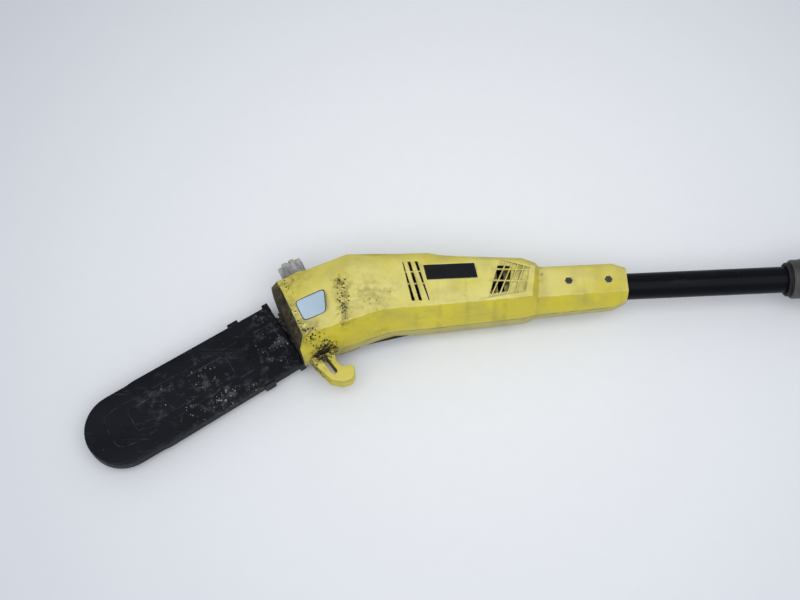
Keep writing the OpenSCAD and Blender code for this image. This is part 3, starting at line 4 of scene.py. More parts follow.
import bpy
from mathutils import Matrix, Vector


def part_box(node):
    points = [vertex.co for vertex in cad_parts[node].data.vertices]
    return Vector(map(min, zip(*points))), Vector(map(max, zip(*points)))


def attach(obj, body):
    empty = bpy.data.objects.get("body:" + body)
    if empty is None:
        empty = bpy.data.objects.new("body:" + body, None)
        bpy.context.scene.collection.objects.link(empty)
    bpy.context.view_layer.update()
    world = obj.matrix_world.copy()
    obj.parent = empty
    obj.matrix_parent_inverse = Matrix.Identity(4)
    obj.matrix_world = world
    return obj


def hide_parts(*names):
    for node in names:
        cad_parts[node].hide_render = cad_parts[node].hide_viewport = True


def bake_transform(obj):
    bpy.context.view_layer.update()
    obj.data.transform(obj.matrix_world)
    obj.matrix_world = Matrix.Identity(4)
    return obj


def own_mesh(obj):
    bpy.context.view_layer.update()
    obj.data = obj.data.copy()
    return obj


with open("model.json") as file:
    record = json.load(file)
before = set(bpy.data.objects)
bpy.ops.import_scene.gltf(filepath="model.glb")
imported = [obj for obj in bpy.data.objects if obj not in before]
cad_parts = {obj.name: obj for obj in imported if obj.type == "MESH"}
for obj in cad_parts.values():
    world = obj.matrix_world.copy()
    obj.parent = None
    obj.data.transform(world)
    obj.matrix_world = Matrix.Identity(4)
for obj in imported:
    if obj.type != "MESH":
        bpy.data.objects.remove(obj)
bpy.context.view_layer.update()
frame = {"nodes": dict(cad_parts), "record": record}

# ---- Camera ----
# The saw lies on a table and is looked at from above, a little from its near
# side, with the cutting head and the first stretch of the pole in view.
looks_at = Vector((-0.61556, 0.05663, 0.038))
turned, raised, away = math.radians(-2.79), math.radians(66), 1.292
towards_eye = Vector((math.sin(turned) * math.cos(raised),
                      -math.cos(turned) * math.cos(raised), math.sin(raised)))
lens = bpy.data.cameras.new("camera")
lens.lens, lens.sensor_width = 55, 36
lens.clip_start, lens.clip_end = 0.05, 60
camera = bpy.data.objects.new("camera", lens)
camera.location = looks_at + towards_eye * away
camera.rotation_mode = "QUATERNION"
camera.rotation_quaternion = (-towards_eye).to_track_quat("-Z", "Y")
bpy.context.scene.collection.objects.link(camera)
bpy.context.scene.camera = camera
bpy.context.scene.view_settings.view_transform = "Standard"

# ---- Table and light ----
# A pale, matt studio table, its colour painted lighter at the saw's head and darker away
# from it as a painted pool of light, under a pale sky and one very large soft lamp, so that the
# shadows stay faint.


def tone(red, green, blue):
    """A colour as it is seen, each part 0 to 255, in the linear form that a socket takes."""
    return tuple(((part / 255 + 0.055) / 1.055) ** 2.4 for part in (red, green, blue)) + (1.0,)


def put(tree, kind, *inputs, **settings):
    """Adds a shader node with its settings, then links or sets each (socket, value)."""
    node = tree.nodes.new("ShaderNode" + kind)
    for name, value in settings.items():
        setattr(node, name, value)
    for socket, value in inputs:
        if isinstance(value, bpy.types.NodeSocket):
            tree.links.new(value, node.inputs[socket])
        else:
            node.inputs[socket].default_value = value
    return node


def cloud(tree, where, scale, detail=4.0):
    """Soft uneven noise from 0 to 1, scale lumps to the metre."""
    made = put(tree, "TexNoise", ("Vector", where), ("Scale", scale), ("Detail", detail))
    return made.outputs["Fac"]


def within(tree, value, low, high):
    """0 at low, 1 at high and an even rise between them; low may be the larger of the two."""
    made = put(tree, "MapRange", ("Value", value), ("From Min", low), ("From Max", high))
    return made.outputs["Result"]


def patches(tree, where, scale, low, high, detail=4):
    """Patches, scale to the metre: 1 where their noise is above high, 0 where it is below low."""
    return within(tree, cloud(tree, where, scale, detail), low, high)


def sums(tree, how, first, second=0.0):
    """One step of arithmetic on numbers or sockets."""
    return put(tree, "Math", (0, first), (1, second), operation=how).outputs["Value"]


def times(tree, first, second):
    """Two masks or amounts multiplied."""
    return sums(tree, "MULTIPLY", first, second)


def tinted(tree, mask, under, over):
    """The colour under, with the colour over laid on it where the mask is 1."""
    return put(tree, "Mix", (0, mask), (6, under), (7, over), data_type="RGBA").outputs[2]


def start_finish(name, rough, metal=0.0, shine=0.5):
    """A new material: itself, its tree, its shader and the place on the object."""
    finish = bpy.data.materials.new(name)
    finish.use_nodes = True
    shader = finish.node_tree.nodes["Principled BSDF"]
    shader.inputs["Roughness"].default_value = rough
    shader.inputs["Metallic"].default_value = metal
    shader.inputs["Specular IOR Level"].default_value = shine
    where = put(finish.node_tree, "TexCoord").outputs["Object"]
    return finish, finish.node_tree, shader, where


def off_from(tree, where, place):
    """How far the surface is from a place, in metres."""
    return put(tree, "VectorMath", (0, where), (1, place), operation="DISTANCE").outputs["Value"]


table_size, table_middle = 30, (-0.2, 0.4, 0)
palest_at, darkest_from = (-0.55, 0.13, 0), 1.05
bpy.ops.object.select_all(action="DESELECT")
bpy.ops.mesh.primitive_plane_add(size=table_size, location=table_middle)
table_top = bpy.context.object
table_top.name = "table_top"
bpy.ops.object.transform_apply(location=True)
table_finish, tree, shader, where = start_finish("table_paint", rough=0.75, shine=0.2)
# Painted pool of light: the table is palest at one place and darker away from it
painted_light_falloff = put(tree, "MapRange", ("Value", off_from(tree, where, palest_at)),
                  ("From Max", darkest_from), interpolation_type="SMOOTHSTEP").outputs["Result"]
paled = tinted(tree, painted_light_falloff, tone(238, 240, 243), tone(188, 192, 201))
speck = times(tree, patches(tree, where, 60, 0.3, 0.8, detail=8), 0.04)
tree.links.new(tinted(tree, speck, paled, tone(180, 184, 192)), shader.inputs["Base Color"])
table_top.data.materials.append(table_finish)

sky = bpy.data.worlds.new("sky")
sky.use_nodes = True
sky.node_tree.nodes["Background"].inputs["Color"].default_value = (0.93, 0.96, 1.0, 1)
sky.node_tree.nodes["Background"].inputs["Strength"].default_value = 0.6
bpy.context.scene.world = sky
soft_box = bpy.data.lights.new("soft_box", "AREA")
soft_box.shape, soft_box.size, soft_box.size_y = "RECTANGLE", 3.0, 2.2
soft_box.energy = 33
lamp = bpy.data.objects.new("soft_box", soft_box)
lamp.location = (-0.45, -0.75, 2.1)
lamp_aim = Vector((-0.5, 0.05, 0))
lamp.rotation_euler = (lamp_aim - lamp.location).to_track_quat("-Z", "Y").to_euler()
bpy.context.scene.collection.objects.link(lamp)

# ---- Head shells ----
# Two injection-moulded halves of yellow nylon that meet on a level seam. They
# hold the motor, the gears and the end of the pole; years of use have left chain
# oil, black crud and rubbed edges on them, and their colour also carries painted shade, sheen and
# edge highlights.
rays = 6                         # samples of a Bevel or Ambient Occlusion node
front_way = (-0.95, -0.3, 0)     # the way that the head's front face looks
spot_scale = 420                 # flecks to the metre where crud or dust lies heavy


def new_effect(name, *amounts, gives=("Mask", "Float")):
    """An empty node group that takes a place and some amounts, and gives one output."""
    tree = bpy.data.node_groups.new(name, "ShaderNodeTree")
    for label, kind in (("Where", "Vector"), *((amount, "Float") for amount in amounts)):
        tree.interface.new_socket(label, in_out="INPUT", socket_type="NodeSocket" + kind)
    tree.interface.new_socket(gives[0], in_out="OUTPUT", socket_type="NodeSocket" + gives[1])
    return (tree, tree.nodes.new("NodeGroupInput").outputs,
            tree.nodes.new("NodeGroupOutput").inputs)


def rounded(tree, radius, samples=rays):
    """The surface's direction as if its edges were rounded."""
    return put(tree, "Bevel", ("Radius", radius), samples=samples).outputs["Normal"]


def facing(tree):
    """The surface's own direction."""
    return put(tree, "NewGeometry").outputs["Normal"]


def towards(tree, direction, way):
    """1 where a direction points a given way, 0 across it."""
    made = put(tree, "VectorMath", (0, direction), (1, way), operation="DOT_PRODUCT")
    return made.outputs["Value"]


def openness(tree, reach):
    """1 on open surface, 0 where the object itself shuts it in, looking as far as reach."""
    return put(tree, "AmbientOcclusion", ("Distance", reach), samples=rays).outputs["AO"]


# Rubbed edges and painted edge highlights: 1 where the surface turns sharply, broken up by patches
edge_wear_and_highlight, given, out = new_effect("edge_wear_and_highlight", "Reach", "Scale", "Amount")
turned_by = towards(edge_wear_and_highlight, rounded(edge_wear_and_highlight, given["Reach"]), facing(edge_wear_and_highlight))
level, sharp = 0.995, 0.86       # the cosine of how far the surface turns
near_edge = within(edge_wear_and_highlight, turned_by, level, sharp)
patchy = patches(edge_wear_and_highlight, given["Where"], given["Scale"], 0.42, 0.62, detail=5)
broken = times(edge_wear_and_highlight, near_edge, patchy)
edge_wear_and_highlight.links.new(times(edge_wear_and_highlight, broken, given["Amount"]), out["Mask"])

# Moulded grain: a fine even texture laid on softly rounded edges
pore_depth = 0.0004
grain, given, out = new_effect("moulded_grain", "Scale", "Depth", "Edge",
                               gives=("Normal", "Vector"))
pores = cloud(grain, given["Where"], given["Scale"], 6)
raised_by = put(grain, "Bump", ("Height", pores), ("Strength", given["Depth"]),
                ("Distance", pore_depth), ("Normal", rounded(grain, given["Edge"])))
grain.links.new(raised_by.outputs["Normal"], out["Normal"])

# Caught dirt and painted shade: 1 in slots, seams and pockets that a brush doesn't reach and little
# light gets into
crevice_dirt_and_shade, given, out = new_effect("caught_dirt_and_shade", "Reach", "Amount")
pocket = within(crevice_dirt_and_shade, openness(crevice_dirt_and_shade, given["Reach"]), 0.75, 0.25)
uneven = patches(crevice_dirt_and_shade, given["Where"], 260, 0.25, 0.6)
crevice_dirt_and_shade.links.new(times(crevice_dirt_and_shade, times(crevice_dirt_and_shade, pocket, uneven), given["Amount"]), out["Mask"])

# Flecks: small spots, one in a cell at most; more and larger ones as the cover rises.
# A noise that is finer than the cells pushes their outlines out of round.
finer, push_by, soft_rim = 2.5, 1.6, 0.08
flecks, given, out = new_effect("flecks", "Scale", "Cover")
ragged = put(flecks, "TexNoise", ("Vector", given["Where"]),
             ("Scale", times(flecks, given["Scale"], finer)), ("Detail", 2)).outputs["Color"]
either_way = put(flecks, "VectorMath", (0, ragged), (1, (0.5, 0.5, 0.5)),
                 operation="SUBTRACT").outputs["Vector"]
push = put(flecks, "VectorMath", (0, either_way),
           ("Scale", sums(flecks, "DIVIDE", push_by, given["Scale"])), operation="SCALE")
pushed = put(flecks, "VectorMath", (0, given["Where"]), (1, push.outputs["Vector"]),
             operation="ADD").outputs["Vector"]
cells = put(flecks, "TexVoronoi", ("Vector", pushed), ("Scale", given["Scale"])).outputs
luck = put(flecks, "SeparateXYZ", ("Vector", cells["Color"])).outputs["X"]
spread = sums(flecks, "SUBTRACT", sums(flecks, "SUBTRACT", given["Cover"], luck), cells["Distance"])
flecks.links.new(within(flecks, spread, 0.0, soft_rim), out["Mask"])

# Hairline scratches: thin crossing lines that come and go
scratches, given, out = new_effect("scratches", "Scale", "Amount")
lines = []
drawn_long, line_edge, line_core = (0.12, 1.0, 1.0), 0.006, 0.001
for turn in (0.4, 1.9):
    drawn_out = put(scratches, "Mapping", ("Vector", given["Where"]),
                    ("Rotation", (0.1, 0.2, turn)), ("Scale", drawn_long)).outputs["Vector"]
    wander = put(scratches, "TexNoise", ("Vector", drawn_out), ("Scale", given["Scale"]),
                 ("Detail", 2), ("Distortion", 0.6)).outputs["Fac"]
    off_line = sums(scratches, "ABSOLUTE", sums(scratches, "SUBTRACT", wander, 0.5))
    lines.append(within(scratches, off_line, line_edge, line_core))
crossed = sums(scratches, "MAXIMUM", *lines)
some = patches(scratches, given["Where"], 28, 0.52, 0.66, detail=3)
scratches.links.new(times(scratches, times(scratches, crossed, some), given["Amount"]), out["Mask"])

# Upward faces: 1 where dust settles and the sun fades the colour, and where a painted sheen of the
# light above makes them paler
dust_and_top_sheen, given, out = new_effect("dust_and_top_sheen", "Scale", "Amount")
upwards = put(dust_and_top_sheen, "SeparateXYZ", ("Vector", facing(dust_and_top_sheen))).outputs["Z"]
drifts = patches(dust_and_top_sheen, given["Where"], given["Scale"], 0.2, 0.7, detail=5)
tilted, flat = 0.6, 0.99         # how much of the surface's direction is upwards
lying = times(dust_and_top_sheen, within(dust_and_top_sheen, upwards, tilted, flat), drifts)
dust_and_top_sheen.links.new(times(dust_and_top_sheen, lying, given["Amount"]), out["Mask"])


def masked(tree, effect, where, **amounts):
    """The mask of one of the shared effects."""
    return put(tree, "Group", ("Where", where), *amounts.items(), node_tree=effect).outputs["Mask"]


def surface(tree, shader, where, scale, depth, edge):
    """Gives the shader a grained surface with rounded edges."""
    made = put(tree, "Group", ("Where", where), ("Scale", scale), ("Depth", depth), ("Edge", edge),
               node_tree=grain)
    tree.links.new(made.outputs["Normal"], shader.inputs["Normal"])


def mottled(tree, where, scale, colour, other, low=0.3, high=0.7, detail=4):
    """A colour with soft patches of another in it."""
    return tinted(tree, patches(tree, where, scale, low, high, detail), colour, other)


def near_to(tree, where, place, reach):
    """1 within a quarter of reach of a place, and 0 from reach on."""
    return within(tree, off_from(tree, where, place), reach, reach * 0.25)


def between(tree, value, low, high):
    """A value from 0 to 1 laid out from low to high, for an uneven gloss."""
    made = put(tree, "MapRange", ("Value", value), ("To Min", low), ("To Max", high))
    return made.outputs["Result"]


def spots_on(node, *spots):
    """Places on a node, in millimetres from its box's lowest corner: place, reach and cover."""
    corner = Vector(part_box(node)[0])
    return [(corner + Vector(place) / 1000, reach / 1000, cover) for place, reach, cover in spots]


seam_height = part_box("head_shell_upper")[0][2]


def housing(name, colour, deep, faded_and_sheen, soiled, front_soot_and_shade=0.0):
    """Used yellow nylon. soiled lists the places of black crud: place, reach, cover.

    The last argument is how black the front face is made, from 0 to 1: partly the chain's oil,
    partly painted shade."""
    bare_and_highlit, scratched, film = tone(238, 230, 164), tone(118, 106, 60), tone(158, 146, 84)
    soot_and_shade_black, spilt_oil, pocket_dirt_and_shade = tone(12, 10, 6), tone(52, 46, 24), tone(96, 86, 40)
    seam_dark, inside, smudged, crud_black = (
        tone(84, 76, 40), tone(20, 18, 13), tone(98, 88, 46), tone(34, 30, 20))
    finish, tree, shader, where = start_finish(name, rough=0.42, shine=0.4)
    skin = mottled(tree, where, 11, colour, deep, low=0.35, detail=5)
    # Upward faces painted paler: partly dust and sun fade, partly a painted sheen of the light from
    # above
    skin = tinted(tree, masked(tree, dust_and_top_sheen, where, Scale=16, Amount=0.9), skin, faded_and_sheen)
    haze = times(tree, patches(tree, where, 48, 0.46, 0.7, detail=9), 0.36)
    skin = tinted(tree, haze, skin, film)
    # Pale edges: rubbed bare, and painted highlights where the edges would catch the light
    rubbed_and_highlit = masked(tree, edge_wear_and_highlight, where, Reach=0.0022, Scale=90, Amount=0.8)
    skin = tinted(tree, rubbed_and_highlit, skin, bare_and_highlit)
    skin = tinted(tree, masked(tree, scratches, where, Scale=130, Amount=0.5), skin, scratched)
    # Soot and painted shade on the face that looks along the bar, and the oil that creeps round its
    # edge
    soot_and_shade = times(tree, within(tree, towards(tree, facing(tree), front_way), 0.45, 0.8),
                 patches(tree, where, 34, 0.05, 0.38, detail=6))
    skin = tinted(tree, times(tree, soot_and_shade, front_soot_and_shade), skin, soot_and_shade_black)
    round_edge = towards(tree, rounded(tree, 0.009, samples=8), front_way)
    spill = times(tree, within(tree, round_edge, 0.5, 0.7),
                  patches(tree, where, 85, 0.34, 0.52, detail=8))
    skin = tinted(tree, times(tree, spill, 0.85 * front_soot_and_shade), skin, spilt_oil)
    # Darker in pockets and slots: caught dirt and painted shade
    skin = tinted(tree, masked(tree, crevice_dirt_and_shade, where, Reach=0.003, Amount=0.5), skin, pocket_dirt_and_shade)
    # The dark line of the seam between the halves
    height = put(tree, "SeparateXYZ", ("Vector", where)).outputs["Z"]
    off_seam = sums(tree, "ABSOLUTE", sums(tree, "SUBTRACT", height, seam_height))
    seam = times(tree, within(tree, off_seam, 0.0007, 0.0003),
                 patches(tree, where, 70, 0.3, 0.5, detail=3))
    skin = tinted(tree, times(tree, seam, 0.8), skin, seam_dark)
    # Painted shade: the inside, where little light reaches, is painted near black
    skin = tinted(tree, within(tree, openness(tree, 0.03), 0.3, 0.12), skin, inside)
    crud = masked(tree, flecks, where, Scale=260, Cover=0.16)
    for place, reach, cover in soiled:
        close = near_to(tree, where, place, reach)
        smudge = times(tree, close, patches(tree, where, 160, 0.4, 0.66, detail=7))
        skin = tinted(tree, times(tree, smudge, 0.75 * cover), skin, smudged)
        here = masked(tree, flecks, where, Scale=spot_scale, Cover=times(tree, close, cover))
        crud = sums(tree, "MAXIMUM", crud, here)
    tree.links.new(tinted(tree, crud, skin, crud_black), shader.inputs["Base Color"])
    dull = times(tree, sums(tree, "MAXIMUM", crud, soot_and_shade), 0.4)
    gloss = between(tree, cloud(tree, where, 30), 0.3, 0.55)
    tree.links.new(sums(tree, "ADD", gloss, dull), shader.inputs["Roughness"])
    surface(tree, shader, where, scale=900, depth=0.12, edge=0.0022)
    return finish


body_of_node = {node: body for body, nodes in frame["record"]["behaviour"]["bodies"].items()
                for node in nodes}
same_point, smooth_below = 0.000004, math.radians(38)


def dress(node, finish, bends=None):
    """Lays a clean, smooth-shaded skin over one CAD solid and gives it its finish.

    bends is given for a piece that stretches between two bodies; its bodies, start and end are not
    used: when it is given, the skin stays where it is and is not attached to a body."""
    bpy.ops.object.select_all(action="DESELECT")
    solid = frame["nodes"][node]
    skin = bpy.data.objects.new(node + "_skin", solid.data.copy())
    bpy.context.scene.collection.objects.link(skin)
    skin.select_set(True)
    bpy.context.view_layer.objects.active = skin
    bpy.ops.object.mode_set(mode="EDIT")
    bpy.ops.mesh.select_all(action="SELECT")
    bpy.ops.mesh.remove_doubles(threshold=same_point)
    bpy.ops.object.mode_set(mode="OBJECT")
    bpy.ops.mesh.customdata_custom_splitnormals_clear()
    bpy.ops.object.shade_smooth_by_angle(angle=smooth_below)
    flats = skin.modifiers.new("flats", "WEIGHTED_NORMAL")
    flats.keep_sharp, flats.weight = True, 80
    bpy.ops.object.modifier_apply(modifier="flats")
    skin.data.materials.clear()
    skin.data.materials.append(finish)
    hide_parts(node)
    if bends:
        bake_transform(skin)
    else:
        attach(skin, body_of_node[node])
    return skin


yellow, yellow_deep, yellow_faded_and_sheen = tone(206, 193, 52), tone(194, 180, 42), tone(226, 216, 138)
dress("head_shell_upper", housing("yellow_nylon_upper", yellow, yellow_deep, yellow_faded_and_sheen, spots_on(
    "head_shell_upper",
    # A row across the top, behind the window
    ((73.6, 75.1, 35), 13, 0.9), ((74.6, 64.6, 35), 13, 0.85), ((76.6, 54.6, 35), 13, 0.8),
    ((76.6, 43.6, 35), 12, 0.95), ((76.6, 30.9, 33), 14, 0.75),
    # Thinner marks between that row and the vents
    ((94.6, 68.4, 35), 24, 0.4), ((104.6, 47.6, 35), 26, 0.4), ((120.6, 61.6, 35), 22, 0.4),
    # Along the front edge, from the oil cap to the hook's root
    ((-2.4, 94.6, 12), 24, 0.85), ((28.6, 84.6, 28), 20, 0.45), ((9.6, 69.1, 25), 26, 0.75),
    ((21.6, 43.6, 25), 22, 0.8), ((32.6, 27.6, 28), 22, 0.8), ((42.6, 19.4, 30), 20, 0.85),
    ((54.1, 12.6, 7), 23, 1.45),
    # Low on the near wall, and on the neck
    ((112.0, 35.4, 5), 13, 0.9), ((148.0, 45.1, 10), 14, 0.8), ((275.6, 79.2, 20), 16, 0.75)),
    front_soot_and_shade=1.0))
# The lower half's yellow is painted paler and greyer than the upper's, as the light thrown up from
# the table makes it look
dress("head_shell_lower", housing(
    "yellow_nylon_lower_painted_paler", tone(186, 176, 98), tone(172, 162, 84), yellow_faded_and_sheen, spots_on(
        "head_shell_lower", ((54.1, 12.6, 27), 30, 0.8), ((267.1, 44.6, 35), 14, 0.5),
        ((30.6, 39.6, 17), 50, 0.6)), front_soot_and_shade=1.0))

# ---- Branch hook ----
# A cast hook at the corner of the head that pulls cut branches clear. It is
# painted yellow; bark and chain oil have blackened its root and its slot.
dress("branch_hook", housing("yellow_cast_hook", yellow, yellow_deep, tone(214, 202, 110), spots_on(
    "branch_hook", ((11.8, 33.4, 19), 22, 1.35), ((14.8, 15.4, 6), 17, 1.0),
    ((-3.2, 21.4, 6), 24, 1.15))))

# ---- Badge plate ----
# A thin plate of black plastic, stuck down in a shallow recess in the top of the
# head. It is left bare.


def shade(colour, share):
    """The same colour, darker or lighter."""
    return tuple(share * part for part in colour[:3]) + (1,)


def black_plastic(name, colour, rough, dust, dusted=(), shine=0.14, scale=700, depth=0.18):
    """Moulded plastic with pale dust on it. dusted lists the heavy places: place, reach, cover."""
    film, grey_wear_and_highlight, scratched, dust_pale = (
        tone(76, 78, 88), tone(88, 88, 104), tone(110, 112, 118), tone(142, 142, 140))
    finish, tree, shader, where = start_finish(name, rough, shine=shine)
    skin = mottled(tree, where, 18, colour, shade(colour, 0.55), high=0.75, detail=5)
    skin = tinted(tree, masked(tree, dust_and_top_sheen, where, Scale=22, Amount=dust), skin, film)
    # Pale edges: rubbed wear, and painted highlights where the edges would catch the light
    rubbed_and_highlit = masked(tree, edge_wear_and_highlight, where, Reach=0.0016, Scale=110, Amount=0.6)
    skin = tinted(tree, rubbed_and_highlit, skin, grey_wear_and_highlight)
    skin = tinted(tree, masked(tree, scratches, where, Scale=75, Amount=0.25), skin, scratched)
    pale = masked(tree, flecks, where, Scale=300, Cover=0.1 + 0.5 * dust)
    for place, reach, cover in dusted:
        close = near_to(tree, where, place, reach)
        here = masked(tree, flecks, where, Scale=spot_scale, Cover=times(tree, close, cover))
        smear = times(tree, close, patches(tree, where, 130, 0.52, 0.68, detail=10))
        marked = sums(tree, "MAXIMUM", here, times(tree, smear, 0.45 * cover))
        pale = sums(tree, "MAXIMUM", pale, marked)
    tree.links.new(tinted(tree, pale, skin, dust_pale), shader.inputs["Base Color"])
    gloss = between(tree, cloud(tree, where, 40, 5), rough - 0.12, rough + 0.15)
    tree.links.new(sums(tree, "ADD", gloss, times(tree, pale, 0.3)), shader.inputs["Roughness"])
    surface(tree, shader, where, scale, depth, edge=0.0009)
    return finish


dress("badge_plate", black_plastic("badge_black", tone(24, 24, 27), rough=0.36, dust=0.05))

# ---- Oil tank, its seal and its cap ----
# The tank is blow-moulded, milky polythene: one face of it shows in the head's
# window as a sight glass. A lobed grey screw cap closes its filler with a rubber
# seal; sawdust and oil have packed black into the cap's grooves, and painted shade darkens them
# further.
milky, tree, shader, where = start_finish("milky_polythene", rough=0.3)
milk = mottled(tree, where, 24, tone(178, 198, 212), tone(162, 184, 199), high=0.75, detail=3)
# A dark rim round the window: caught dirt and painted shade
rim_dirt_and_shade = masked(tree, crevice_dirt_and_shade, where, Reach=0.003, Amount=0.8)
milk = tinted(tree, rim_dirt_and_shade, milk, tone(98, 104, 100))
milk = tinted(tree, masked(tree, flecks, where, Scale=240, Cover=0.14), milk, tone(104, 112, 112))
tree.links.new(milk, shader.inputs["Base Color"])
surface(tree, shader, where, scale=300, depth=0.1, edge=0.0012)
dress("oil_tank", milky)


def rubber(name, colour, rough=0.75, scale=500):
    """Soft black rubber with a dull bloom."""
    finish, tree, shader, where = start_finish(name, rough, shine=0.25)
    bloom = patches(tree, where, 60, 0.4, 0.75, detail=5)
    tree.links.new(tinted(tree, bloom, colour, shade(colour, 1.8)), shader.inputs["Base Color"])
    surface(tree, shader, where, scale, depth=0.3, edge=0.0006)
    return finish


dress("oil_cap_seal", rubber("seal_rubber", tone(36, 36, 36)))

cap_grey, tree, shader, where = start_finish("cap_grey", rough=0.6, shine=0.35)
worn = mottled(tree, where, 120, tone(172, 171, 170), tone(118, 117, 116), low=0.35, detail=6)
# Black in the cap's grooves: packed dirt and painted shade
packed_dirt_and_shade = masked(tree, crevice_dirt_and_shade, where, Reach=0.012, Amount=2.4)
worn = tinted(tree, packed_dirt_and_shade, worn, tone(20, 18, 16))
worn = tinted(tree, masked(tree, flecks, where, Scale=520, Cover=0.4), worn, tone(34, 32, 28))
worn = tinted(tree, masked(tree, scratches, where, Scale=160, Amount=0.7), worn, tone(90, 88, 84))
tree.links.new(worn, shader.inputs["Base Color"])
surface(tree, shader, where, scale=600, depth=0.35, edge=0.0012)
dress("oil_cap", cap_grey)

# ---- Oil pump and pipe ----
# A small plunger pump in black glass-filled nylon, and the clear tube that
# takes its oil down to the bar pad.
dress("oil_pump", black_plastic("pump_nylon", tone(48, 48, 50), rough=0.5, dust=0.0))
tube, tree, shader, where = start_finish("oiled_tube", rough=0.25)
amber = mottled(tree, where, 90, tone(196, 168, 96), tone(170, 134, 62), detail=3)
tree.links.new(amber, shader.inputs["Base Color"])
surface(tree, shader, where, scale=200, depth=0.05, edge=0.0003)
dress("oil_pipe", tube)

# ---- Gear case and cover ----
# A die-cast aluminium case under the motor's nose, with its cover plate and the
# steel screws that hold it. The castings have the dull, pebbled skin of the die.


def cast_alloy(name, colour, dark):
    """Die-cast aluminium, dull and pebbled, with a trace of oil and painted shade in its hollows.
    """
    finish, tree, shader, where = start_finish(name, rough=0.45, metal=0.85)
    skin = mottled(tree, where, 40, colour, dark, low=0.35, high=0.72, detail=6)
    oil_and_shade = masked(tree, crevice_dirt_and_shade, where, Reach=0.02, Amount=1.2)
    tree.links.new(tinted(tree, oil_and_shade, skin, tone(22, 19, 15)), shader.inputs["Base Color"])
    tree.links.new(between(tree, cloud(tree, where, 90), 0.36, 0.62), shader.inputs["Roughness"])
    surface(tree, shader, where, scale=420, depth=0.4, edge=0.0007)
    return finish


def turned_metal(name, colour, rough, lay=(1, 1, 14)):
    """Metal off a lathe or a press. lay is how closely the tool's lines lie along each axis."""
    finish, tree, shader, where = start_finish(name, rough, metal=1.0)
    stretched = put(tree, "Mapping", ("Vector", where), ("Scale", lay)).outputs["Vector"]
    lines = cloud(tree, stretched, 320, 3)
    skin = tinted(tree, within(tree, lines, 0.3, 0.75), colour, shade(colour, 0.62))
    tree.links.new(skin, shader.inputs["Base Color"])
    tree.links.new(between(tree, lines, rough - 0.08, rough + 0.14), shader.inputs["Roughness"])
    surface(tree, shader, stretched, scale=320, depth=0.15, edge=0.0004)
    return finish


even = (1, 1, 1)     # no lay at all
case_alloy = cast_alloy("case_alloy", tone(128, 128, 128), tone(58, 54, 48))
dress("gear_case", case_alloy)
dress("gear_cover", case_alloy)
zinc_screw = turned_metal("zinc_screw", tone(176, 178, 176), rough=0.34, lay=even)
dress("gear_cover_screws", zinc_screw)

# ---- Gears, spindle and bearings ----
# The motor's hardened pinion turns a face gear on the upright spindle, three to
# one. The spindle runs in a plain bush and a sealed ball bearing.
dress("face_gear", turned_metal("gear_steel", tone(150, 150, 154), rough=0.33, lay=(6, 6, 1)))
dress("motor_pinion", turned_metal("pinion_steel", tone(160, 160, 164), rough=0.28, lay=(14, 1, 1)))
dress("spindle", turned_metal("spindle_steel", tone(184, 186, 190), rough=0.24))
bearing_steel = turned_metal("bearing_steel", tone(196, 198, 202), rough=0.2)
dress("spindle_bearings", bearing_steel)

# ---- Sprocket and clip ----
# A sintered six-tooth sprocket under the head drives the chain. A spring clip
# keeps it on the spindle. Both are dark with chain oil.
oily_steel = turned_metal("oily_steel", tone(112, 108, 102), rough=0.36, lay=(1, 1, 5))
dress("sprocket", oily_steel)
dress("sprocket_clip", oily_steel)

# ---- Guide bar and chain ----
# A laminated steel bar with a rounded nose, ground along its length, and the
# low-profile chain that runs in its groove. Oil has stained both brown.
bar_turn, bar_way = math.radians(-30), Vector((-0.866, -0.5, 0))     # from the pole's line
bend_from, bend_to = 0.016, 0.035     # how far along the bar the chain's bend starts and ends
bar_steel, tree, shader, where = start_finish("ground_bar", rough=0.34, metal=1.0)
along_bar = put(tree, "Mapping", ("Vector", where), ("Rotation", (0, 0, bar_turn)),
                ("Scale", (1, 14, 14))).outputs["Vector"]
ground = cloud(tree, along_bar, 90)
plate = tinted(tree, within(tree, ground, 0.3, 0.75), tone(150, 150, 150), tone(104, 104, 104))
plate = mottled(tree, where, 26, plate, tone(40, 32, 24), high=0.6, detail=7)
# Darker where the head shuts the bar in: oil and painted shade
root_oil_and_shade = masked(tree, crevice_dirt_and_shade, where, Reach=0.02, Amount=1.2)
tree.links.new(tinted(tree, root_oil_and_shade, plate, tone(18, 16, 13)), shader.inputs["Base Color"])
tree.links.new(between(tree, ground, 0.26, 0.5), shader.inputs["Roughness"])
surface(tree, shader, along_bar, scale=90, depth=0.1, edge=0.0004)
dress("guide_bar", bar_steel)

chain_steel, tree, shader, where = start_finish("chain_steel", rough=0.32, metal=1.0)
links = mottled(tree, where, 170, tone(92, 88, 82), tone(44, 38, 30), low=0.35, detail=5)
# Near black between the links: oil and painted shade
oil_and_shade = masked(tree, crevice_dirt_and_shade, where, Reach=0.002, Amount=1.0)
tree.links.new(tinted(tree, oil_and_shade, links, tone(18, 16, 14)), shader.inputs["Base Color"])
surface(tree, shader, where, scale=500, depth=0.2, edge=0.0003)


def middle_of(node):
    """The middle of a node's box."""
    low, high = (Vector(corner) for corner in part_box(node))
    return (low + high) / 2


wheel = middle_of("sprocket")
dress("saw_chain", chain_steel,
      bends=("saw_head", "bar_set", wheel + bend_from * bar_way, wheel + bend_to * bar_way))

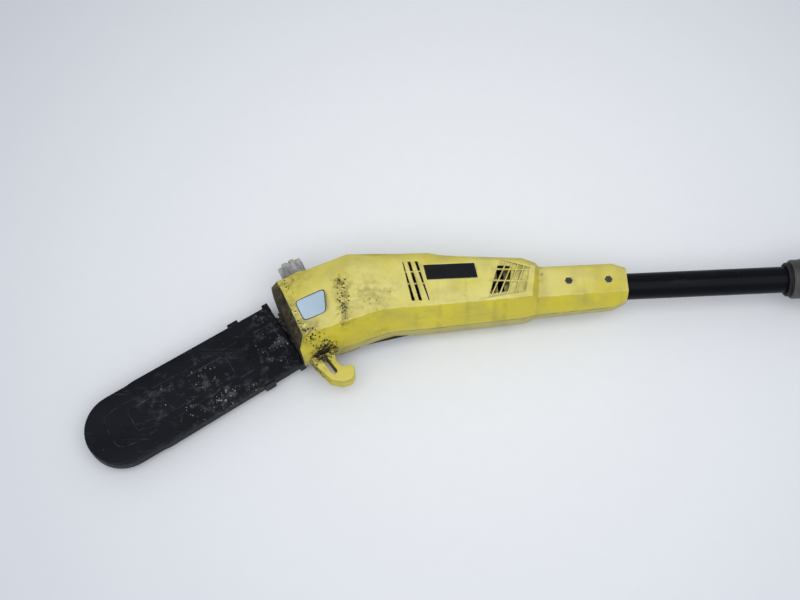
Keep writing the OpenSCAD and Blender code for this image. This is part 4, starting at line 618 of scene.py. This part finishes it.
# ---- Sprocket cover ----
# A black nylon cover under the head closes the sprocket's compartment and clamps
# the bar. One stud and nut hold it.
dress("sprocket_cover",
      black_plastic("cover_black", tone(30, 30, 33), rough=0.5, dust=0.15,
                    dusted=spots_on("sprocket_cover", ((58.0, 27.6, 10), 50, 0.6))))
dress("bar_stud", turned_metal("stud_steel", tone(170, 170, 172), rough=0.32, lay=(1, 1, 30)))
dress("bar_nut", turned_metal("nut_steel", tone(150, 150, 150), rough=0.36, lay=(1, 1, 3)))

# ---- Chain tensioner ----
# A steel screw beside the bar draws a pinned zinc block along, which pulls the
# bar out and takes up the chain's slack.
dress("tension_screw",
      turned_metal("tensioner_steel", tone(164, 160, 150), rough=0.34, lay=(20, 1, 1)))
dress("tension_block",
      turned_metal("tension_block_zinc", tone(150, 148, 142), rough=0.4, lay=(1, 1, 2)))

# ---- Motor: stator and field coils ----
# A stack of thin silicon-steel sheets with two coils of varnished copper wire
# wound through it.


def embossed(tree, shader, height, strength, depth):
    """Raises the surface where the height is 1."""
    made = put(tree, "Bump", ("Height", height), ("Strength", strength), ("Distance", depth))
    tree.links.new(made.outputs["Normal"], shader.inputs["Normal"])


stack, tree, shader, where = start_finish("sheet_stack", rough=0.45, metal=0.8)
sheets = put(tree, "TexWave", ("Vector", where), ("Scale", 320), ("Distortion", 0.3),
             bands_direction="X").outputs["Fac"]
rust = times(tree, patches(tree, where, 60, 0.5, 0.75, detail=6), 0.5)
plates = tinted(tree, sheets, tone(96, 94, 92), tone(150, 148, 146))
tree.links.new(tinted(tree, rust, plates, tone(92, 62, 44)), shader.inputs["Base Color"])
embossed(tree, shader, sheets, strength=0.5, depth=0.0003)
dress("motor_stator", stack)


def wound_copper(name, scale, colour, dark, direction="X"):
    """Varnished copper wire laid side by side; the larger the scale, the finer the wire."""
    finish, tree, shader, where = start_finish(name, rough=0.28, metal=0.9)
    turns = put(tree, "TexWave", ("Vector", where), ("Scale", scale), ("Distortion", 1.2),
                ("Detail", 2), ("Detail Scale", 3), bands_direction=direction).outputs["Fac"]
    tree.links.new(tinted(tree, turns, dark, colour), shader.inputs["Base Color"])
    embossed(tree, shader, turns, strength=0.9, depth=0.0006)
    return finish


dress("field_coils",
      wound_copper("coil_copper", 300, tone(206, 120, 70), tone(96, 44, 20), "DIAGONAL"))

# ---- Motor: armature, commutator and brushes ----
# The wound rotor on its steel shaft, the ring of copper bars that carries its
# current, and the carbon blocks that press on them in brass holders.
dress("armature", wound_copper("armature_winding", 240, tone(188, 112, 66), tone(84, 42, 24)))
bar_count = 12
bars, tree, shader, where = start_finish("commutator_copper", rough=0.26, metal=1.0)
about = put(tree, "VectorMath", (0, where), (1, middle_of("commutator")), operation="SUBTRACT")
about = put(tree, "SeparateXYZ", ("Vector", about.outputs["Vector"])).outputs
round_it = sums(tree, "ARCTAN2", about["Y"], about["Z"])
gap = within(tree, sums(tree, "SINE", times(tree, round_it, bar_count)), 0.9, 0.97)
copper = mottled(tree, where, 90, tone(206, 128, 84), tone(150, 84, 52), detail=3)
tree.links.new(tinted(tree, gap, copper, tone(48, 40, 34)), shader.inputs["Base Color"])
embossed(tree, shader, sums(tree, "SUBTRACT", 1.0, gap), strength=0.7, depth=0.0004)
dress("commutator", bars)
dress("cooling_fan", black_plastic("fan_nylon", tone(70, 72, 76), rough=0.5, dust=0.0, shine=0.4))
dress("motor_bearings", bearing_steel)
dress("brush_holders", turned_metal("holder_brass", tone(196, 164, 92), rough=0.34, lay=(1, 8, 1)))
carbon, tree, shader, where = start_finish("brush_carbon", rough=0.55, metal=0.2)
tree.links.new(mottled(tree, where, 400, tone(46, 46, 48), tone(78, 78, 80)),
               shader.inputs["Base Color"])
surface(tree, shader, where, scale=800, depth=0.3, edge=0.0003)
dress("carbon_brushes", carbon)
dress("terminal_block",
      black_plastic("terminal_nylon", tone(200, 196, 184), rough=0.5, dust=0.0, shine=0.4))

# ---- Head and neck screws ----
# Self-cutting screws in deep pockets join the two shells; two more with hex
# pockets clamp the neck on the pole.
black_screw = turned_metal("blackened_screw", tone(96, 96, 96), rough=0.42, lay=even)
dress("head_screws", black_screw)
dress("neck_screws", black_screw)

# ---- Upper pole and its bush ----
# A drawn aluminium tube in satin black paint that slides in the lower pole on a
# nylon bush. Its rating label is left off.
tube_paint, tree, shader, where = start_finish("satin_black_paint", rough=0.32, shine=0.08)
skin = mottled(tree, where, 14, tone(12, 13, 18), tone(7, 8, 12), detail=5)
slid = put(tree, "Mapping", ("Vector", where), ("Scale", (0.25, 9, 9))).outputs["Vector"]
skin = tinted(tree, times(tree, patches(tree, slid, 30, 0.6, 0.7), 0.2), skin, tone(78, 80, 86))
skin = tinted(tree, masked(tree, scratches, where, Scale=120, Amount=0.3), skin, tone(84, 86, 92))
skin = tinted(tree, masked(tree, flecks, where, Scale=300, Cover=0.12), skin, tone(130, 132, 134))
tree.links.new(skin, shader.inputs["Base Color"])
tree.links.new(between(tree, cloud(tree, where, 50), 0.26, 0.44), shader.inputs["Roughness"])
surface(tree, shader, where, scale=500, depth=0.06, edge=0.0005)
dress("upper_pole", tube_paint)
dress("pole_bush", black_plastic("bush_nylon", tone(190, 188, 180), rough=0.4, dust=0.0, shine=0.4))

# ---- Telescope lock ----
# A split collet squeezed by a ribbed grey twist nut on the threaded base at the
# mouth of the lower pole.
dress("collet", black_plastic("collet_black", tone(28, 28, 30), rough=0.5, dust=0.1))
dress("lock_base", black_plastic("lock_base_black", tone(34, 34, 37), rough=0.5, dust=0.1))
lock_grey, tree, shader, where = start_finish("lock_grey", rough=0.5, shine=0.35)
grey = mottled(tree, where, 50, tone(78, 78, 74), tone(52, 52, 50), detail=5)
# Darker in the nut's grooves: caught dirt and painted shade
pocket_dirt_and_shade = masked(tree, crevice_dirt_and_shade, where, Reach=0.003, Amount=0.8)
grey = tinted(tree, pocket_dirt_and_shade, grey, tone(40, 38, 34))
# Pale edges of the ribs: rubbed wear and painted highlights
rubbed_and_highlit = masked(tree, edge_wear_and_highlight, where, Reach=0.001, Scale=120, Amount=0.5)
tree.links.new(tinted(tree, rubbed_and_highlit, grey, tone(150, 149, 140)), shader.inputs["Base Color"])
surface(tree, shader, where, scale=600, depth=0.25, edge=0.0008)
dress("lock_nut", lock_grey)

# ---- Lower pole and internal lead ----
# The outer tube, painted as the inner one is. A coiled lead inside it pays out
# as the pole is drawn longer.
dress("lower_pole", tube_paint)
lead_low, lead_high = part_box("internal_lead")
dress("internal_lead", rubber("lead_rubber", tone(30, 30, 32), rough=0.6),
      bends=("main_pole", "saw_head", lead_high, (lead_low[0], lead_high[1], lead_high[2])))

# ---- Foam grip ----
# A sleeve of closed-cell foam rolled on to the pole for the front hand, soft
# enough to take dents and with its ends rounded over.
foam_low, foam_high = (Vector(corner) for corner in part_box("foam_grip"))
pole_low, pole_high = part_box("lower_pole")
foam_middle, foam_length = middle_of("foam_grip"), foam_high.x - foam_low.x
foam_radius = (foam_high.z - foam_low.z) / 2 - 0.0004     # less the room for its dents
foam_bore = (pole_high[2] - pole_low[2]) / 2 + 0.0001     # an easy fit on the pole
foam_round, dent_size, dent_depth = 0.003, 0.03, 0.0016
hair, square, skin_depth = 0.0006, 0.001, 0.001     # how near to a radius, an end or the outside
bpy.ops.object.select_all(action="DESELECT")
bpy.ops.mesh.primitive_cylinder_add(vertices=72, radius=foam_radius, depth=foam_length,
                                    location=foam_middle, rotation=(0, math.pi / 2, 0))
foam_sleeve = bpy.context.object
foam_sleeve.name = "foam_sleeve"
bpy.ops.object.transform_apply(location=True, rotation=True)


def pick(piece, kind, wanted):
    """Goes into edit mode with just the faces or edges selected for which wanted is true."""
    bpy.ops.object.mode_set(mode="EDIT")
    bpy.ops.mesh.select_mode(type=kind)
    bpy.ops.mesh.select_all(action="DESELECT")
    bpy.ops.object.mode_set(mode="OBJECT")
    mesh = piece.data
    if kind == "FACE":
        for face in mesh.polygons:
            face.select = wanted(face.center, face.normal)
    else:
        for edge in mesh.edges:
            edge.select = wanted(*(mesh.vertices[index].co for index in edge.vertices))
    bpy.ops.object.mode_set(mode="EDIT")


def off_axis(point):
    """How far a point is from the pole's axis."""
    return math.hypot(point.y - foam_middle.y, point.z - foam_middle.z)


# The ends are opened, then joined by the bore
pick(foam_sleeve, "FACE", lambda _, normal: abs(normal.x) > 0.9)
bpy.ops.mesh.inset(thickness=foam_radius - foam_bore)
bpy.ops.mesh.delete(type="ONLY_FACE")
bpy.ops.object.mode_set(mode="OBJECT")
pick(foam_sleeve, "EDGE", lambda start, end: abs(start.x - end.x) < square
     and max(off_axis(start), off_axis(end)) < foam_bore + hair)
bpy.ops.mesh.bridge_edge_loops()
bpy.ops.object.mode_set(mode="OBJECT")
# The rims are rounded, and the length is cut into rings that can dent
pick(foam_sleeve, "EDGE", lambda start, end: abs(start.x - end.x) < square
     and min(off_axis(start), off_axis(end)) > foam_radius - hair)
bpy.ops.mesh.bevel(offset=foam_round, segments=4)
bpy.ops.object.mode_set(mode="OBJECT")
pick(foam_sleeve, "EDGE", lambda start, end: abs(start.x - end.x) > foam_length / 2)
bpy.ops.mesh.subdivide(number_cuts=47)
bpy.ops.mesh.select_all(action="SELECT")
bpy.ops.mesh.normals_make_consistent(inside=False)
bpy.ops.object.mode_set(mode="OBJECT")
outside = foam_sleeve.vertex_groups.new(name="outside")
outside.add([vertex.index for vertex in foam_sleeve.data.vertices
             if off_axis(vertex.co) > foam_radius - skin_depth], 1.0, "REPLACE")
dents = bpy.data.textures.new("foam_dents", "CLOUDS")
dents.noise_scale = dent_size
dented = foam_sleeve.modifiers.new("dented", "DISPLACE")
dented.texture, dented.texture_coords, dented.vertex_group = dents, "LOCAL", "outside"
dented.strength, dented.mid_level = dent_depth, 0.8
bpy.ops.object.modifier_apply(modifier="dented")
bpy.ops.object.shade_smooth_by_angle(angle=math.radians(50))
foam, tree, shader, where = start_finish("foam_skin", rough=0.9, shine=0.15)
cells = put(tree, "TexVoronoi", ("Vector", where), ("Scale", 900)).outputs["Distance"]
skin = mottled(tree, where, 26, tone(38, 38, 40), tone(54, 54, 56), low=0.35)
skin = tinted(tree, masked(tree, flecks, where, Scale=260, Cover=0.16), skin, tone(120, 118, 112))
tree.links.new(skin, shader.inputs["Base Color"])
embossed(tree, shader, cells, strength=0.8, depth=0.0008)
foam_sleeve.data.materials.append(foam)
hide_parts("foam_grip")
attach(foam_sleeve, body_of_node["foam_grip"])

# ---- Strap ring ----
# A nylon clamp that a steel screw closes round the pole, and the bright wire ring
# in it that the harness hooks on.
dress("strap_clamp", black_plastic("clamp_black", tone(32, 32, 35), rough=0.45, dust=0.1))
dress("clamp_screw", zinc_screw)
dress("strap_ring", turned_metal("ring_steel", tone(188, 190, 194), rough=0.22, lay=even))

# ---- Rear handle ----
# Two moulded halves screwed together round the end of the pole, with a rubbery
# pad under the palm.
dress("handle_left",
      black_plastic("handle_black", tone(34, 34, 37), rough=0.5, dust=0.18, scale=500, depth=0.3))
dress("handle_right", housing("yellow_nylon_handle", yellow, yellow_deep, tone(216, 204, 110), []))
dress("handle_screws", black_screw)
dress("grip_pad", rubber("grip_rubber", tone(44, 44, 46), rough=0.7, scale=350))

# ---- Trigger, lock-off button and their springs ----
# The button under the thumb has to be pressed before the trigger moves; each has
# its own steel spring.
dress("trigger",
      black_plastic("trigger_black", tone(26, 26, 28), rough=0.4, dust=0.05, scale=400, depth=0.3))
dress("trigger_pin", turned_metal("pin_steel", tone(180, 182, 186), rough=0.25))
spring_steel = turned_metal("spring_steel", tone(158, 158, 162), rough=0.28, lay=even)
trigger_spring = dress("trigger_spring", spring_steel)
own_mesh(trigger_spring)
button_red, tree, shader, where = start_finish("button_red", rough=0.4, shine=0.4)
tree.links.new(mottled(tree, where, 120, tone(158, 40, 34), tone(128, 28, 24)),
               shader.inputs["Base Color"])
surface(tree, shader, where, scale=600, depth=0.2, edge=0.0007)
dress("lock_button", button_red)
button_spring = dress("button_spring", spring_steel)
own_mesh(button_spring)

# ---- Switch and power inlet ----
# The micro-switch behind the trigger, and the recessed two-pin inlet at the end
# of the handle for an extension lead.
dress("power_switch",
      black_plastic("switch_nylon", tone(40, 40, 42), rough=0.45, dust=0.0, shine=0.35))
dress("power_inlet", black_plastic("inlet_black", tone(28, 28, 30), rough=0.5, dust=0.05))
dress("inlet_pins", turned_metal("pin_nickel", tone(200, 198, 188), rough=0.22, lay=(20, 1, 1)))

# ---- Scabbard ----
# A stiff black polypropylene sheath over the bar and chain, with a raised frame
# and a sunk panel on each side. Bark dust lies on it in smears.
smears = spots_on(
    "scabbard", ((144.4, 64.7, 21.7), 32, 0.55), ((177.4, 71.7, 21.7), 20, 0.55),
    ((179.4, 155.7, 21.7), 18, 0.5), ((112.4, 53.7, 21.7), 28, 0.4),
    ((194.4, 120.7, 21.7), 40, 0.45), ((124.4, 90.7, 21.7), 40, 0.36),
    ((79.4, 70.7, 21.7), 35, 0.3))
dress("scabbard", black_plastic("scabbard_black", tone(11, 12, 19), rough=0.44, dust=0.08,
                                dusted=smears, shine=0.1))
